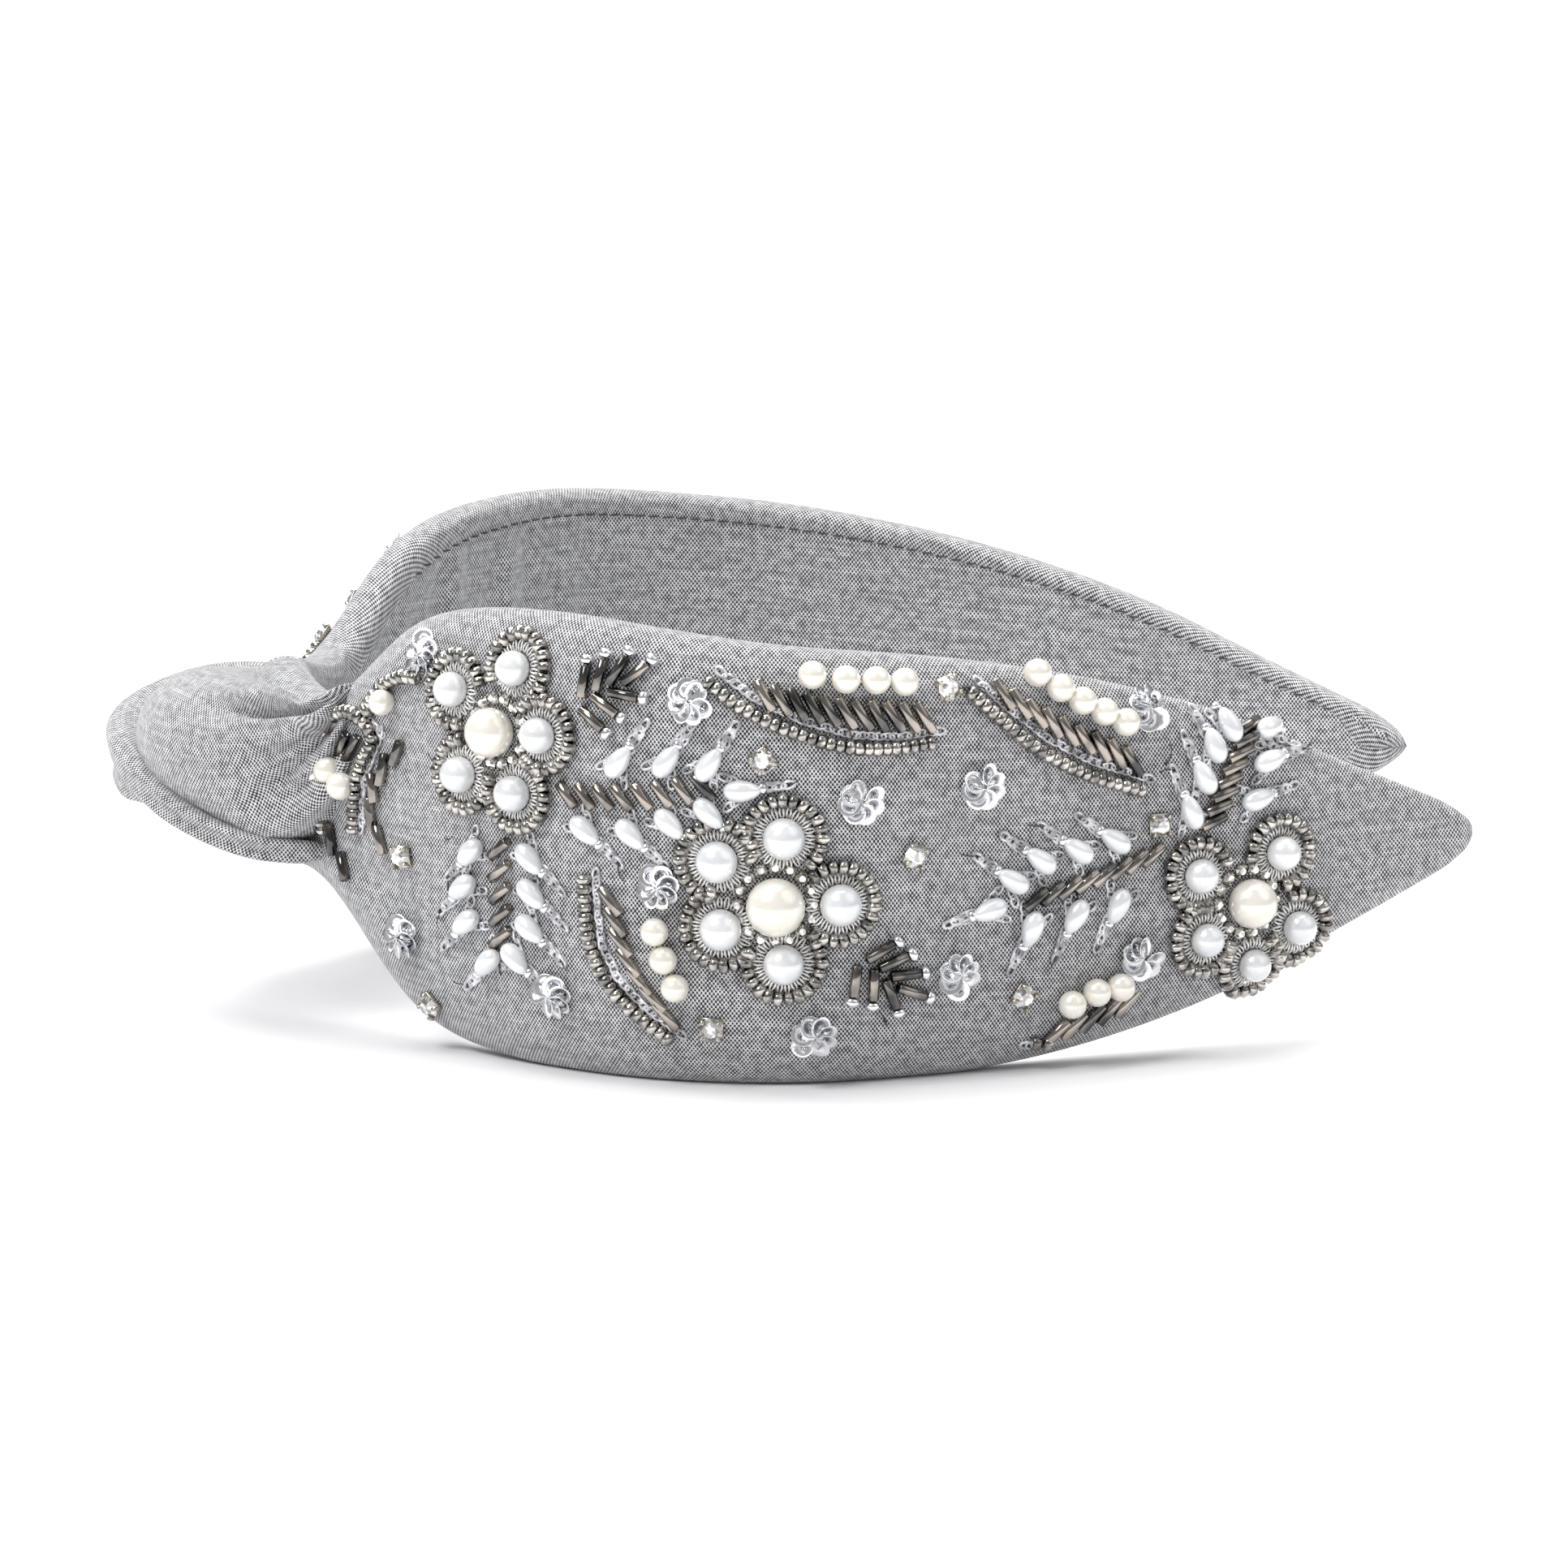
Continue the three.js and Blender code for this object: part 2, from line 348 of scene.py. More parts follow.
class Finish(Enum):
    """Every finish, as (record slot, maker)."""

    CHAMBRAY = ("chambray", Chambray())
    LINING = ("lining_cloth", Chambray("lining_chambray", 0.31 * MM, (0.88, 0.88, 0.90), (0.05, 0.05, 0.054)))
    FOAM = ("foam", Plain("foam", (0.88, 0.87, 0.83), (0.7, 0.69, 0.65), 0.95, 2500, 0.2 * MM))
    PLASTIC = ("spring_plastic", Plain("spring_plastic", (0.035,) * 3, (0.02,) * 3, 0.4, 4000, 0.01 * MM))
    IVORY = ("ivory_pearl", PearlLacquer("ivory_pearl", (0.88, 0.84, 0.75), (0.92, 0.88, 0.81)))
    WHITE = ("white_pearl", PearlLacquer("white_pearl", (0.78, 0.80, 0.82), (0.87, 0.88, 0.89)))
    CRYSTAL = ("crystal", Stone())
    SEED = ("seed_bead", Metal("antique_silver", (0.64, 0.61, 0.57), (0.20, 0.19, 0.18), (0.08, 0.18)))
    BUGLE = (
        "bugle_bead",
        Metal("gunmetal", (0.42, 0.38, 0.34), (0.07, 0.07, 0.07), (0.08, 0.18), 1.0, 190.0),
    )
    SEQUIN = ("sequin", Metal("silver_sequin", (0.93, 0.93, 0.95), (0.74, 0.75, 0.78), (0.14, 0.28)))
    SETTING = ("crystal", Metal("claw_metal", (0.62, 0.58, 0.50), (0.32, 0.29, 0.25), (0.14, 0.26)))
    THREAD = (
        "silver_thread",
        Metal("silver_thread", (0.86, 0.86, 0.89), (0.34, 0.34, 0.36), (0.3, 0.45), 0.5),
    )
    PURL = ("silver_thread", Metal("purl_wire", (0.97, 0.96, 0.94), (0.80, 0.78, 0.75), (0.3, 0.45), 0.45))
    STITCH = (
        "silver_thread",
        Plain("dark_thread", (0.10, 0.10, 0.11), (0.04, 0.04, 0.045), 0.8, 3000, 0.03 * MM),
    )

    def __init__(self, slot: str, maker: object) -> None:
        """Keep the slot and maker, and make the material on first use."""
        self.slot = slot
        self.maker = maker
        self.built: bpy.types.Material | None = None

    @property
    def material(self) -> bpy.types.Material:
        """The Blender material, made once."""
        if self.built is None:
            self.built = self.maker.make()
        return self.built


# --------------------------------------------------------------------------- mesh helpers


def finish_piece(name: str, bm: bmesh.types.BMesh, finish: Finish, smooth: bool = True) -> bpy.types.Object:
    """Turn a bmesh into a linked object with its material.

    Args:
        name: the piece's name.
        bm: the mesh, which is freed.
        finish: its finish.
        smooth: whether every face is smooth; otherwise faces keep what they have.

    Returns:
        The new object.
    """
    mesh = bpy.data.meshes.new(name)
    if smooth:
        for face in bm.faces:
            face.smooth = True
    bm.to_mesh(mesh)
    bm.free()
    mesh.materials.append(finish.material)
    piece = bpy.data.objects.new(name, mesh)
    bpy.context.scene.collection.objects.link(piece)
    log.info("%s: %d faces", name, len(mesh.polygons))
    return piece


def mapped_grid(
    columns: int, rows: int, place: Callable[[np.ndarray, np.ndarray], np.ndarray]
) -> bmesh.types.BMesh:
    """A grid bent into place, with a UV map in metres measured over the surface.

    Args:
        columns: faces along the first direction.
        rows: faces along the second.
        place: gives points for arrays of u and v, both from 0 to 1.

    Returns:
        The bmesh, with doubles merged where place brings points together.
    """
    u, v = np.meshgrid(np.linspace(0, 1, columns + 1), np.linspace(0, 1, rows + 1), indexing="ij")
    points = place(u.ravel(), v.ravel()).reshape(columns + 1, rows + 1, 3)
    middle = rows // 2
    down = np.cumsum(np.linalg.norm(np.diff(points, axis=1, prepend=points[:, :1]), axis=2), axis=1)
    down -= down[:, middle:middle + 1]
    over = np.cumsum(np.linalg.norm(np.diff(points[:, middle], axis=0, prepend=points[:1, middle]), axis=1))
    bm = bmesh.new()
    bmesh.ops.create_grid(bm, x_segments=columns, y_segments=rows, size=0.5)
    spots = {
        vert: (round((vert.co.x + 0.5) * columns), round((vert.co.y + 0.5) * rows)) for vert in bm.verts
    }
    layer = bm.loops.layers.uv.verify()
    for face in bm.faces:
        for loop in face.loops:
            i, j = spots[loop.vert]
            loop[layer].uv = (over[i], down[i, j])
    for vert, (i, j) in spots.items():
        vert.co = points[i, j]
    bmesh.ops.remove_doubles(bm, verts=bm.verts, dist=0.01 * MM)
    bmesh.ops.recalc_face_normals(bm, faces=bm.faces)
    return bm


def turned(profile: Sequence[tuple[float, float]], steps: int, closed: bool = False) -> bpy.types.Mesh:
    """A small mesh spun round Z.

    Args:
        profile: (radius, height) points in millimetres.
        steps: sides round the axis.
        closed: whether the profile joins back to its start, as on a ring.

    Returns:
        The mesh, for stamping.
    """
    bm = bmesh.new()
    verts = [bm.verts.new((r * MM, 0, z * MM)) for r, z in profile]
    pairs = list(zip(verts, verts[1:], strict=False)) + ([(verts[-1], verts[0])] if closed else [])
    edges = [bm.edges.new(pair) for pair in pairs]
    bmesh.ops.spin(
        bm, geom=verts + edges, cent=(0, 0, 0), axis=(0, 0, 1), angle=math.tau, steps=steps, use_merge=True
    )
    bmesh.ops.remove_doubles(bm, verts=bm.verts, dist=0.001 * MM)
    bmesh.ops.recalc_face_normals(bm, faces=bm.faces)
    mesh = bpy.data.meshes.new("template")
    for face in bm.faces:
        face.smooth = True
    bm.to_mesh(mesh)
    bm.free()
    return mesh


class Tray:
    """Collects stamped copies of small templates into one piece."""

    def __init__(self, name: str, finish: Finish) -> None:
        """Start an empty piece.

        Args:
            name: the piece's name.
            finish: its finish.
        """
        self.name = name
        self.finish = finish
        self.bm = bmesh.new()
        self.count = 0

    def stamp(self, template: bpy.types.Mesh, matrix: Matrix) -> None:
        """Add a copy of a template.

        Args:
            template: the mesh to copy.
            matrix: where it goes.
        """
        copy = template.copy()
        copy.transform(matrix)
        self.bm.from_mesh(copy)
        bpy.data.meshes.remove(copy)
        self.count += 1

    def piece(self) -> bpy.types.Object | None:
        """Make the piece, or nothing if nothing was stamped."""
        if not self.count:
            self.bm.free()
            return None
        log.info("%s: %d stamped", self.name, self.count)
        return finish_piece(self.name, self.bm, self.finish, smooth=False)

    def empty_onto(self, body: str) -> bpy.types.Object | None:
        """Make the piece and let it ride on a body.

        Args:
            body: the CAD body.

        Returns:
            The piece, or None if nothing was stamped.
        """
        piece = self.piece()
        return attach(piece, body) if piece else None


# --------------------------------------------------------------------------- the band's shape


def hermite(at: Sequence[float], values: Sequence[float], step: float) -> tuple[np.ndarray, np.ndarray]:
    """A smooth curve through values, sampled evenly.

    Args:
        at: where the values are.
        values: the values.
        step: sampling distance.

    Returns:
        The sample places and their values.
    """
    t, v = np.array(at, float), np.array(values, float)
    slopes = np.diff(v) / np.diff(t)
    tangents = np.concatenate([[slopes[0]], (slopes[:-1] + slopes[1:]) / 2, [slopes[-1]]])
    x = np.arange(t[0], t[-1] + step / 2, step)
    i = np.clip(np.searchsorted(t, x, side="right") - 1, 0, len(slopes) - 1)
    width = t[i + 1] - t[i]
    p = (x - t[i]) / width
    value = (
        (2 * p**3 - 3 * p**2 + 1) * v[i]
        + (p**3 - 2 * p**2 + p) * width * tangents[i]
        + (3 * p**2 - 2 * p**3) * v[i + 1]
        + (p**3 - p**2) * width * tangents[i + 1]
    )
    return x, value


def smoothstep(low: float, high: float, x: np.ndarray) -> np.ndarray:
    """0 below low, 1 above high, smooth between."""
    t = np.clip((x - low) / (high - low), 0, 1)
    return t * t * (3 - 2 * t)


@dataclass
class Spot:
    """A place on an arm's outer face, with its directions."""

    point: Vector
    run: Vector
    rise: Vector
    normal: Vector

    def heading(self, angle: float) -> Vector:
        """A direction in the face, by degrees from the tipward direction towards up."""
        turn = math.radians(angle)
        return (self.run * math.cos(turn) + self.rise * math.sin(turn)).normalized()

    def lying(self, heading: Vector, lift: float = 0.0) -> Matrix:
        """Axes with Z along a heading in the face and X along the normal.

        Args:
            heading: the direction that the piece lies along.
            lift: height above the face.

        Returns:
            The placing matrix.
        """
        z = (heading - self.normal * heading.dot(self.normal)).normalized()
        return axes(self.normal, z.cross(self.normal), z, self.point + self.normal * lift)

    def standing(self, lift: float = 0.0, angle: float = 0.0) -> Matrix:
        """Axes with Z along the normal.

        Args:
            lift: height above the face.
            angle: degrees turned about the normal.

        Returns:
            The placing matrix.
        """
        x = self.heading(angle)
        x = (x - self.normal * x.dot(self.normal)).normalized()
        return axes(x, self.normal.cross(x), self.normal, self.point + self.normal * lift)


def axes(x: Vector, y: Vector, z: Vector, origin: Vector) -> Matrix:
    """A placing matrix from three directions and a point."""
    matrix = Matrix((x, y, z)).transposed().to_4x4()
    matrix.translation = origin
    return matrix


@dataclass
class BandShape:
    """Where every layer of the band lies, in step with the CAD solids. Millimetres inside."""

    plan: tuple = ((0, 0), (5, 15), (27, 43), (42, 54.5), (58, 58), (78, 53), (110, 41.5), (142.5, 29.5))
    edge_at: tuple = (0, 18, 35, 53, 88, 106, 124, 142, 159, 177)
    upper: tuple = (42, 40, 51.5, 54.6, 52, 49.8, 46.2, 40.7, 33.3, 25.5)
    lower: tuple = (17, 17, 3.6, 0, 0, 0, 2.2, 6.8, 13.9, 21.9)
    inner_face: float = -2.2
    outer_rim: float = 0.6
    dome_crown: float = 5.5
    dome_tip: float = 2.2
    taper_from: float = 90.0
    core_outer: float = 0.4
    hem_crown: float = 4.5
    hem_tip: float = 2.0
    tip_round: float = 6.0
    length: float = field(init=False)

    def __post_init__(self) -> None:
        """Sample the plan and the edges."""
        crown_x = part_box("spring_core")[0].x / MM + self.core_outer
        half = [(x + crown_x, y) for x, y in self.plan]
        knots = [(x, -y) for x, y in half[:0:-1]] + half
        points = self.through(np.array(knots, float))
        run = np.concatenate([[0], np.cumsum(np.linalg.norm(np.diff(points, axis=0), axis=1))])
        self.length = run[-1] / 2
        self.run = run - self.length
        self.points = points
        tangents = np.gradient(points, self.run, axis=0)
        self.tangents = tangents / np.linalg.norm(tangents, axis=1)[:, None]
        self.edge_x, self.top = hermite(self.edge_at, self.upper, 0.5)
        self.bottom = np.maximum(hermite(self.edge_at, self.lower, 0.5)[1], 0)

    @staticmethod
    def through(knots: np.ndarray, per_span: int = 40) -> np.ndarray:
        """A centripetal Catmull-Rom curve.

        Args:
            knots: the points it passes through.
            per_span: samples between two points.

        Returns:
            The sampled points.
        """
        padded = np.vstack([2 * knots[0] - knots[1], knots, 2 * knots[-1] - knots[-2]])
        out = [knots[:1]]
        for a, b, c, d in zip(padded, padded[1:], padded[2:], padded[3:], strict=False):
            gaps = [math.sqrt(np.linalg.norm(q - p)) for p, q in ((a, b), (b, c), (c, d))]
            leave = ((b - a) / gaps[0] - (c - a) / (gaps[0] + gaps[1]) + (c - b) / gaps[1]) * gaps[1]
            arrive = ((c - b) / gaps[1] - (d - b) / (gaps[1] + gaps[2]) + (d - c) / gaps[2]) * gaps[1]
            t = (np.arange(1, per_span + 1) / per_span)[:, None]
            out.append(
                (2 * t**3 - 3 * t**2 + 1) * b + (t**3 - 2 * t**2 + t) * leave
                + (3 * t**2 - 2 * t**3) * c + (t**3 - t**2) * arrive
            )
        return np.vstack(out)

    def edges(self, along: np.ndarray) -> tuple[np.ndarray, np.ndarray]:
        """Lower and upper edge at distances from the crown, rounded off at the tip."""
        distance = np.abs(along)
        low = np.interp(distance, self.edge_x, self.bottom)
        high = np.interp(distance, self.edge_x, self.top)
        left = np.clip((self.length - distance) / self.tip_round, 0, 1)
        squeeze = np.sqrt(np.clip(1 - (1 - left) ** 2, 0, 1))
        middle = (low + high) / 2
        return middle + (low - middle) * squeeze, middle + (high - middle) * squeeze

    def dome(self, along: np.ndarray, across: np.ndarray) -> np.ndarray:
        """How far the padded face stands out, without its creases."""
        distance = np.abs(along)
        peak = self.dome_crown + (self.dome_tip - self.dome_crown) * smoothstep(
            self.taper_from, self.length, distance
        )
        left = np.clip((self.length - distance) / self.tip_round, 0, 1)
        peak = self.outer_rim + (peak - self.outer_rim) * np.sqrt(np.clip(1 - (1 - left) ** 2, 0, 1))
        return self.outer_rim + (peak - self.outer_rim) * np.sqrt(np.clip(1 - across**4, 0, 1))

    def creases(self, along: np.ndarray, across: np.ndarray) -> np.ndarray:
        """Gathers that fan out of the knot, and faint puckers over the face."""
        distance = np.abs(along)
        fade = np.exp(-np.clip(distance - 12, 0, None) / 14.0)
        fan = np.sin(across * 9.0 + 0.8) * 0.7 + np.sin(across * 17.0 + np.sign(along) * 1.7) * 0.4
        pucker = 0.2 * np.sin(distance * 0.21 + across * 2.3) * np.sin(across * 5.1 + distance * 0.07)
        return (fan * fade + pucker) * (1 - across**4)

    def place(self, along: np.ndarray, outward: np.ndarray, up: np.ndarray) -> np.ndarray:
        """Points in metres, by distance along (negative on the near arm), outward and up."""
        along, outward, up = np.broadcast_arrays(along, outward, up)
        x = np.interp(along, self.run, self.points[:, 0])
        y = np.interp(along, self.run, self.points[:, 1])
        tx = np.interp(along, self.run, self.tangents[:, 0])
        ty = np.interp(along, self.run, self.tangents[:, 1])
        return np.stack([x - ty * outward, y + tx * outward, up], axis=-1) * MM

    def face(self, along: float, up: float) -> Vector:
        """A point on the outer face."""
        low, high = self.edges(np.array(along))
        across = np.clip((up - low) / (high - low) * 2 - 1, -1, 1)
        outward = self.dome(along, across) + self.creases(np.array(along), across)
        return Vector(self.place(np.array(along), outward, np.array(up)))

    def spot(self, side: Side, along: float, up: float) -> Spot:
        """A place on an arm's outer face.

        Args:
            side: which arm.
            along: millimetres from the crown.
            up: millimetres above the floor.

        Returns:
            The spot, whose run points to the arm's tip.
        """
        signed = side.value * along
        ahead = self.face(side.value * (along + 0.6), up)
        behind = self.face(side.value * (along - 0.6), up)
        run = (ahead - behind).normalized()
        rise = (self.face(signed, up + 0.6) - self.face(signed, up - 0.6)).normalized()
        normal = (run.cross(rise) * -side.value).normalized()
        return Spot(self.face(signed, up), run, rise, normal)

    def shifted(self, along: float, up: float, right: float, rise: float) -> tuple[float, float]:
        """A place some true millimetres tipward and up from another, over the face."""
        stretch = (self.face(along + 0.5, up) - self.face(along - 0.5, up)).length / MM
        climb = (self.face(along, up + 0.5) - self.face(along, up - 0.5)).length / MM
        return along + right / stretch, up + rise / max(climb, 1.0)

    def locate(self, node: str) -> tuple[float, float]:
        """Along and up of a CAD node that is sewn to an arm."""
        low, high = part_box(node)
        middle = (low + high) / 2 / MM
        i = np.argmin(np.linalg.norm(self.points - np.array(middle[:2]), axis=1))
        return abs(float(self.run[i])), middle.z


# --------------------------------------------------------------------------- cloth, foam and core


@dataclass
class Padding:
    """One arm's outer cover and foam."""

    shape: BandShape
    side: Side
    columns: int = 150
    rows: int = 72
    dome_share: float = 0.64
    rim_share: float = 0.12
    cloth: float = 0.4
    bend_from: float = 9.0
    bend_to: float = 33.0

    def section(self, along: np.ndarray, v: np.ndarray) -> tuple[np.ndarray, np.ndarray]:
        """Outward and up round the cover: inner hem, lower rim, dome, upper rim, inner hem."""
        s = self.shape
        low, high = s.edges(along)
        middle, half = (low + high) / 2, (high - low) / 2
        around = v * 2 - 1
        sign, b = np.sign(around), np.abs(around)
        across = sign * np.sin(np.clip(b / self.dome_share, 0, 1) * math.pi / 2)
        dome = s.dome(along, across) + s.creases(along, across)
        t = np.clip((b - self.dome_share) / self.rim_share, 0, 1)
        turned_in = np.clip(
            (b - self.dome_share - self.rim_share) / (1 - self.dome_share - self.rim_share), 0, 1
        )
        hem = s.hem_crown + (s.hem_tip - s.hem_crown) * np.abs(along) / s.length
        hem = hem + half * smoothstep(s.length - 9, s.length - 5, np.abs(along))
        outward = np.where(t > 0, s.outer_rim + (s.inner_face - s.outer_rim) * t, dome)
        outward = outward - 0.35 * np.sin(turned_in * math.pi) * (turned_in > 0)
        inset = np.minimum(0.8 * t**4, half * 0.5) + (hem - 0.8) * turned_in
        inset = np.minimum(inset, half * 0.985)
        left = np.clip((s.length - np.abs(along)) / 2.5, 0, 1)
        centre = (s.outer_rim + s.inner_face) / 2
        squeeze = np.sqrt(np.clip(1 - (1 - left) ** 2, 0, 1))
        outward = centre + (outward - centre) * squeeze
        return outward, middle + across * half - sign * inset

    def bend(self, piece: bpy.types.Object) -> None:
        """Bake a piece's placement into its mesh. The piece is not made to bend from the crown to this arm.
        """
        a = self.shape.place(np.array(self.side.value * self.bend_from), 0.0, 0.0)
        b = self.shape.place(np.array(self.side.value * self.bend_to), 0.0, 0.0)
        self.side.body
        tuple(a)
        tuple(b)
        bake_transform(piece)

    def build_cover(self) -> None:
        """Make the outer cover."""

        def place(u: np.ndarray, v: np.ndarray) -> np.ndarray:
            along = self.side.value * u * self.shape.length
            return self.shape.place(along, *self.section(along, v))

        bm = mapped_grid(self.columns, self.rows, place)
        piece = finish_piece(f"padded_cover_{self.side.label}", bm, Finish.CHAMBRAY)
        solidify = piece.modifiers.new("cloth", "SOLIDIFY")
        solidify.thickness = self.cloth * MM
        solidify.offset = -1
        subdivide(piece)
        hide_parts(f"outer_cover_{self.side.label}")
        self.bend(piece)

    def build_foam(self) -> None:
        """Make the foam pad inside the cover."""
        s = self.shape
        start, end = 8.0, s.length * 24 / 28

        def place(u: np.ndarray, v: np.ndarray) -> np.ndarray:
            along = self.side.value * (start + u * (end - start))
            low, high = s.edges(along)
            middle, half = (low + high) / 2, (high - low) / 2 - 3.5
            angle = v * math.tau
            across = np.sin(angle)
            inner = s.core_outer + 0.3
            under = s.dome(along, across * 0.9) + s.creases(along, across * 0.9) - 1.3
            outer = np.maximum(under, inner + 0.2)
            ends = np.sqrt(np.clip(1 - np.abs(u * 2 - 1) ** 30, 0, 1))
            depth = np.where(np.cos(angle) > 0, outer, inner)
            mid = (outer + inner) / 2
            outward = mid + (depth - mid) * ends * np.abs(np.cos(angle)) ** 0.3
            return s.place(along, outward, middle + across * half * ends)

        piece = finish_piece(f"foam_{self.side.label}", mapped_grid(70, 32, place), Finish.FOAM)
        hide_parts(f"foam_pad_{self.side.label}")
        self.bend(piece)


def subdivide(piece: bpy.types.Object, levels: int = 1) -> None:
    """Add one Subdivision Surface modifier."""
    modifier = piece.modifiers.new("smooth", "SUBSURF")
    modifier.levels = modifier.render_levels = levels


@dataclass
class Inside:
    """One arm's half of the lining and of the plastic spring core, with the hem's stitches."""

    shape: BandShape
    padding: Padding
    side: Side
    thickness: float = 0.35
    stitch: float = 1.45
    stitch_pitch: float = 1.95

    def hem(self, along: np.ndarray) -> np.ndarray:
        """Hem width at a distance."""
        s = self.shape
        return s.hem_crown + (s.hem_tip - s.hem_crown) * np.abs(along) / s.length

    def build_lining(self) -> None:
        """Make this arm's half of the lining, tucked under the hems."""
        s = self.shape
        end = s.length - 2.2

        def place(u: np.ndarray, v: np.ndarray) -> np.ndarray:
            along = self.side.value * u * end
            low, high = s.edges(along)
            inset = np.minimum(self.hem(along) - 1.0, (high - low) * 0.45)
            up = low + inset + v * (high - low - 2 * inset)
            across = v * 2 - 1
            distance = np.abs(along)
            crumple = 0.5 * np.exp(-((distance - 46) / 18) ** 2) * (
                np.sin(distance * 0.62 + across * 0.9) + 0.6 * np.sin(distance * 1.13 - across * 1.6)
            )
            gather = 0.35 * np.exp(-distance / 14) * np.sin(across * 11)
            soft = 0.12 * np.sin(distance * 0.11 + across * 2)
            belly = (crumple + gather + soft) * (1 - across**6)
            return s.place(along, s.inner_face + 0.25 - belly, up)

        bm = mapped_grid(170, 36, place)
        piece = finish_piece(f"lining_{self.side.label}", bm, Finish.LINING)
        solidify = piece.modifiers.new("cloth", "SOLIDIFY")
        solidify.thickness = self.thickness * MM
        solidify.offset = -1 if self.side is Side.FAR else 1
        subdivide(piece)
        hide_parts("lining")
        f"padded_cover_{self.side.label}"
        self.padding.bend(piece)

    def build_core(self) -> None:
        """Make this arm's half of the spring core."""
        s = self.shape
        end = s.length * 26 / 28

        def place(u: np.ndarray, v: np.ndarray) -> np.ndarray:
            along = self.side.value * u * end
            low, high = s.edges(along)
            half = (high - low) * 0.2
            angle = v * math.tau
            flat = np.sign(np.cos(angle)) * np.abs(np.cos(angle)) ** 0.25
            closing = np.sqrt(np.clip(1 - np.clip((u - 0.98) / 0.02, 0, 1) ** 2, 0, 1))
            up = (low + high) / 2 + np.sin(angle) * half * closing
            return s.place(along, -0.4 + 0.75 * flat * closing, up)

        bm = mapped_grid(90, 24, place)
        bmesh.ops.holes_fill(bm, edges=bm.edges, sides=0)
        piece = finish_piece(f"spring_band_{self.side.label}", bm, Finish.PLASTIC)
        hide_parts("spring_core")
        self.padding.bend(piece)

    def build_stitches(self) -> None:
        """Sew running stitches along both hems."""
        s = self.shape
        template = turned([(0, -0.5), (0.1, -0.42), (0.14, 0), (0.1, 0.42), (0, 0.5)], 6)
        tray = Tray(f"hem_stitches_{self.side.label}", Finish.STITCH)
        for edge in (-1, 1):
            along = 34.0
            while along < s.length - 9:
                signed = np.array(self.side.value * along)
                low, high = s.edges(signed)
                inset = self.hem(signed) - 0.45
                up = (low + inset) if edge < 0 else (high - inset)
                here = Vector(s.place(signed, s.inner_face - 0.28, up))
                ahead = Vector(s.place(signed + self.side.value * 0.8, s.inner_face - 0.28, up))
                z = (ahead - here).normalized()
                x = z.cross(Vector((0, 0, 1))).normalized()
                matrix = axes(x, z.cross(x), z, here) @ Matrix.Diagonal((1, 1, self.stitch, 1))
                tray.stamp(template, matrix)
                along += self.stitch_pitch
        tray.empty_onto(self.side.body)


# --------------------------------------------------------------------------- the knot


@dataclass(frozen=True)
class Crease:
    """A valley, or with a negative depth a ridge, that runs along a strip of the knot."""

    angle: float
    drift: float
    width: float
    depth: float
    start: float
    end: float

    def press(self, u: np.ndarray, angle: np.ndarray) -> np.ndarray:
        """Depth in millimetres at places along the strip and angles round its section."""
        middle = np.radians(self.angle + self.drift * u)
        off = (angle - middle + math.pi) % math.tau - math.pi
        rise = (self.end - self.start) * 0.35
        window = smoothstep(self.start, self.start + rise, u) * (1 - smoothstep(self.end - rise, self.end, u))
        return self.depth * window * np.exp(-(off / math.radians(self.width)) ** 2)


@dataclass
class Lobe:
    """One folded strip of the knot: a soft tube along a spine, pinched at both ends."""

    name: str
    node: str
    spine: tuple
    height: tuple
    depth: tuple
    tilt: tuple
    creases: tuple
    square: float = 0.82
    keen: float = 0.5
    columns: int = 120
    rows: int = 120

    def build(self, crown_x: float) -> None:
        """Make the strip.

        Args:
            crown_x: X of the band's plan at the crown, in millimetres.
        """
        places = np.linspace(0, 1, len(self.spine))
        spine = BandShape.through(np.array(self.spine, float), 24)
        at = np.linspace(0, 1, len(spine))

        def smooth(values: Sequence[float], u: np.ndarray) -> np.ndarray:
            x, y = hermite(places, values, 0.01)
            return np.interp(u, x, y)

        def on_spine(u: np.ndarray) -> np.ndarray:
            return np.stack([np.interp(np.clip(u, 0, 1), at, spine[:, k]) for k in range(3)], axis=1)

        def place(u: np.ndarray, v: np.ndarray) -> np.ndarray:
            centre = on_spine(u)
            tangent = on_spine(u + 0.03) - on_spine(u - 0.03)
            tangent /= np.linalg.norm(tangent, axis=1)[:, None]
            up = np.array([0.0, 0.0, 1.0]) - tangent * tangent[:, 2:3]
            up /= np.linalg.norm(up, axis=1)[:, None]
            out = np.cross(up, tangent)
            lean = np.radians(smooth(self.tilt, u))[:, None]
            up, out = up * np.cos(lean) + out * np.sin(lean), out * np.cos(lean) - up * np.sin(lean)
            angle = (v - 0.5) * math.tau
            c, s = np.cos(angle), np.sin(angle)
            pressed = sum(crease.press(u, angle) for crease in self.creases)
            ends = np.sqrt(np.clip(1 - np.abs(u * 2 - 1) ** 14, 0, 1))
            h = (smooth(self.height, u) / 2 * ends * np.sign(s) * np.abs(s) ** self.square)[:, None]
            rim = np.where(s < 0, self.square + self.keen * s * s, self.square)
            d = (smooth(self.depth, u) / 2 * ends * np.sign(c) * np.abs(c) ** rim)[:, None]
            round_out = (out * c[:, None] + up * s[:, None]) * (pressed * ends)[:, None]
            points = centre + up * h + out * d - round_out
            points[:, 0] += crown_x
            return points * MM

        bm = mapped_grid(self.columns, self.rows, place)
        piece = finish_piece(self.name, bm, Finish.CHAMBRAY)
        subdivide(piece)
        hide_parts(self.node)
        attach(piece, "crown")


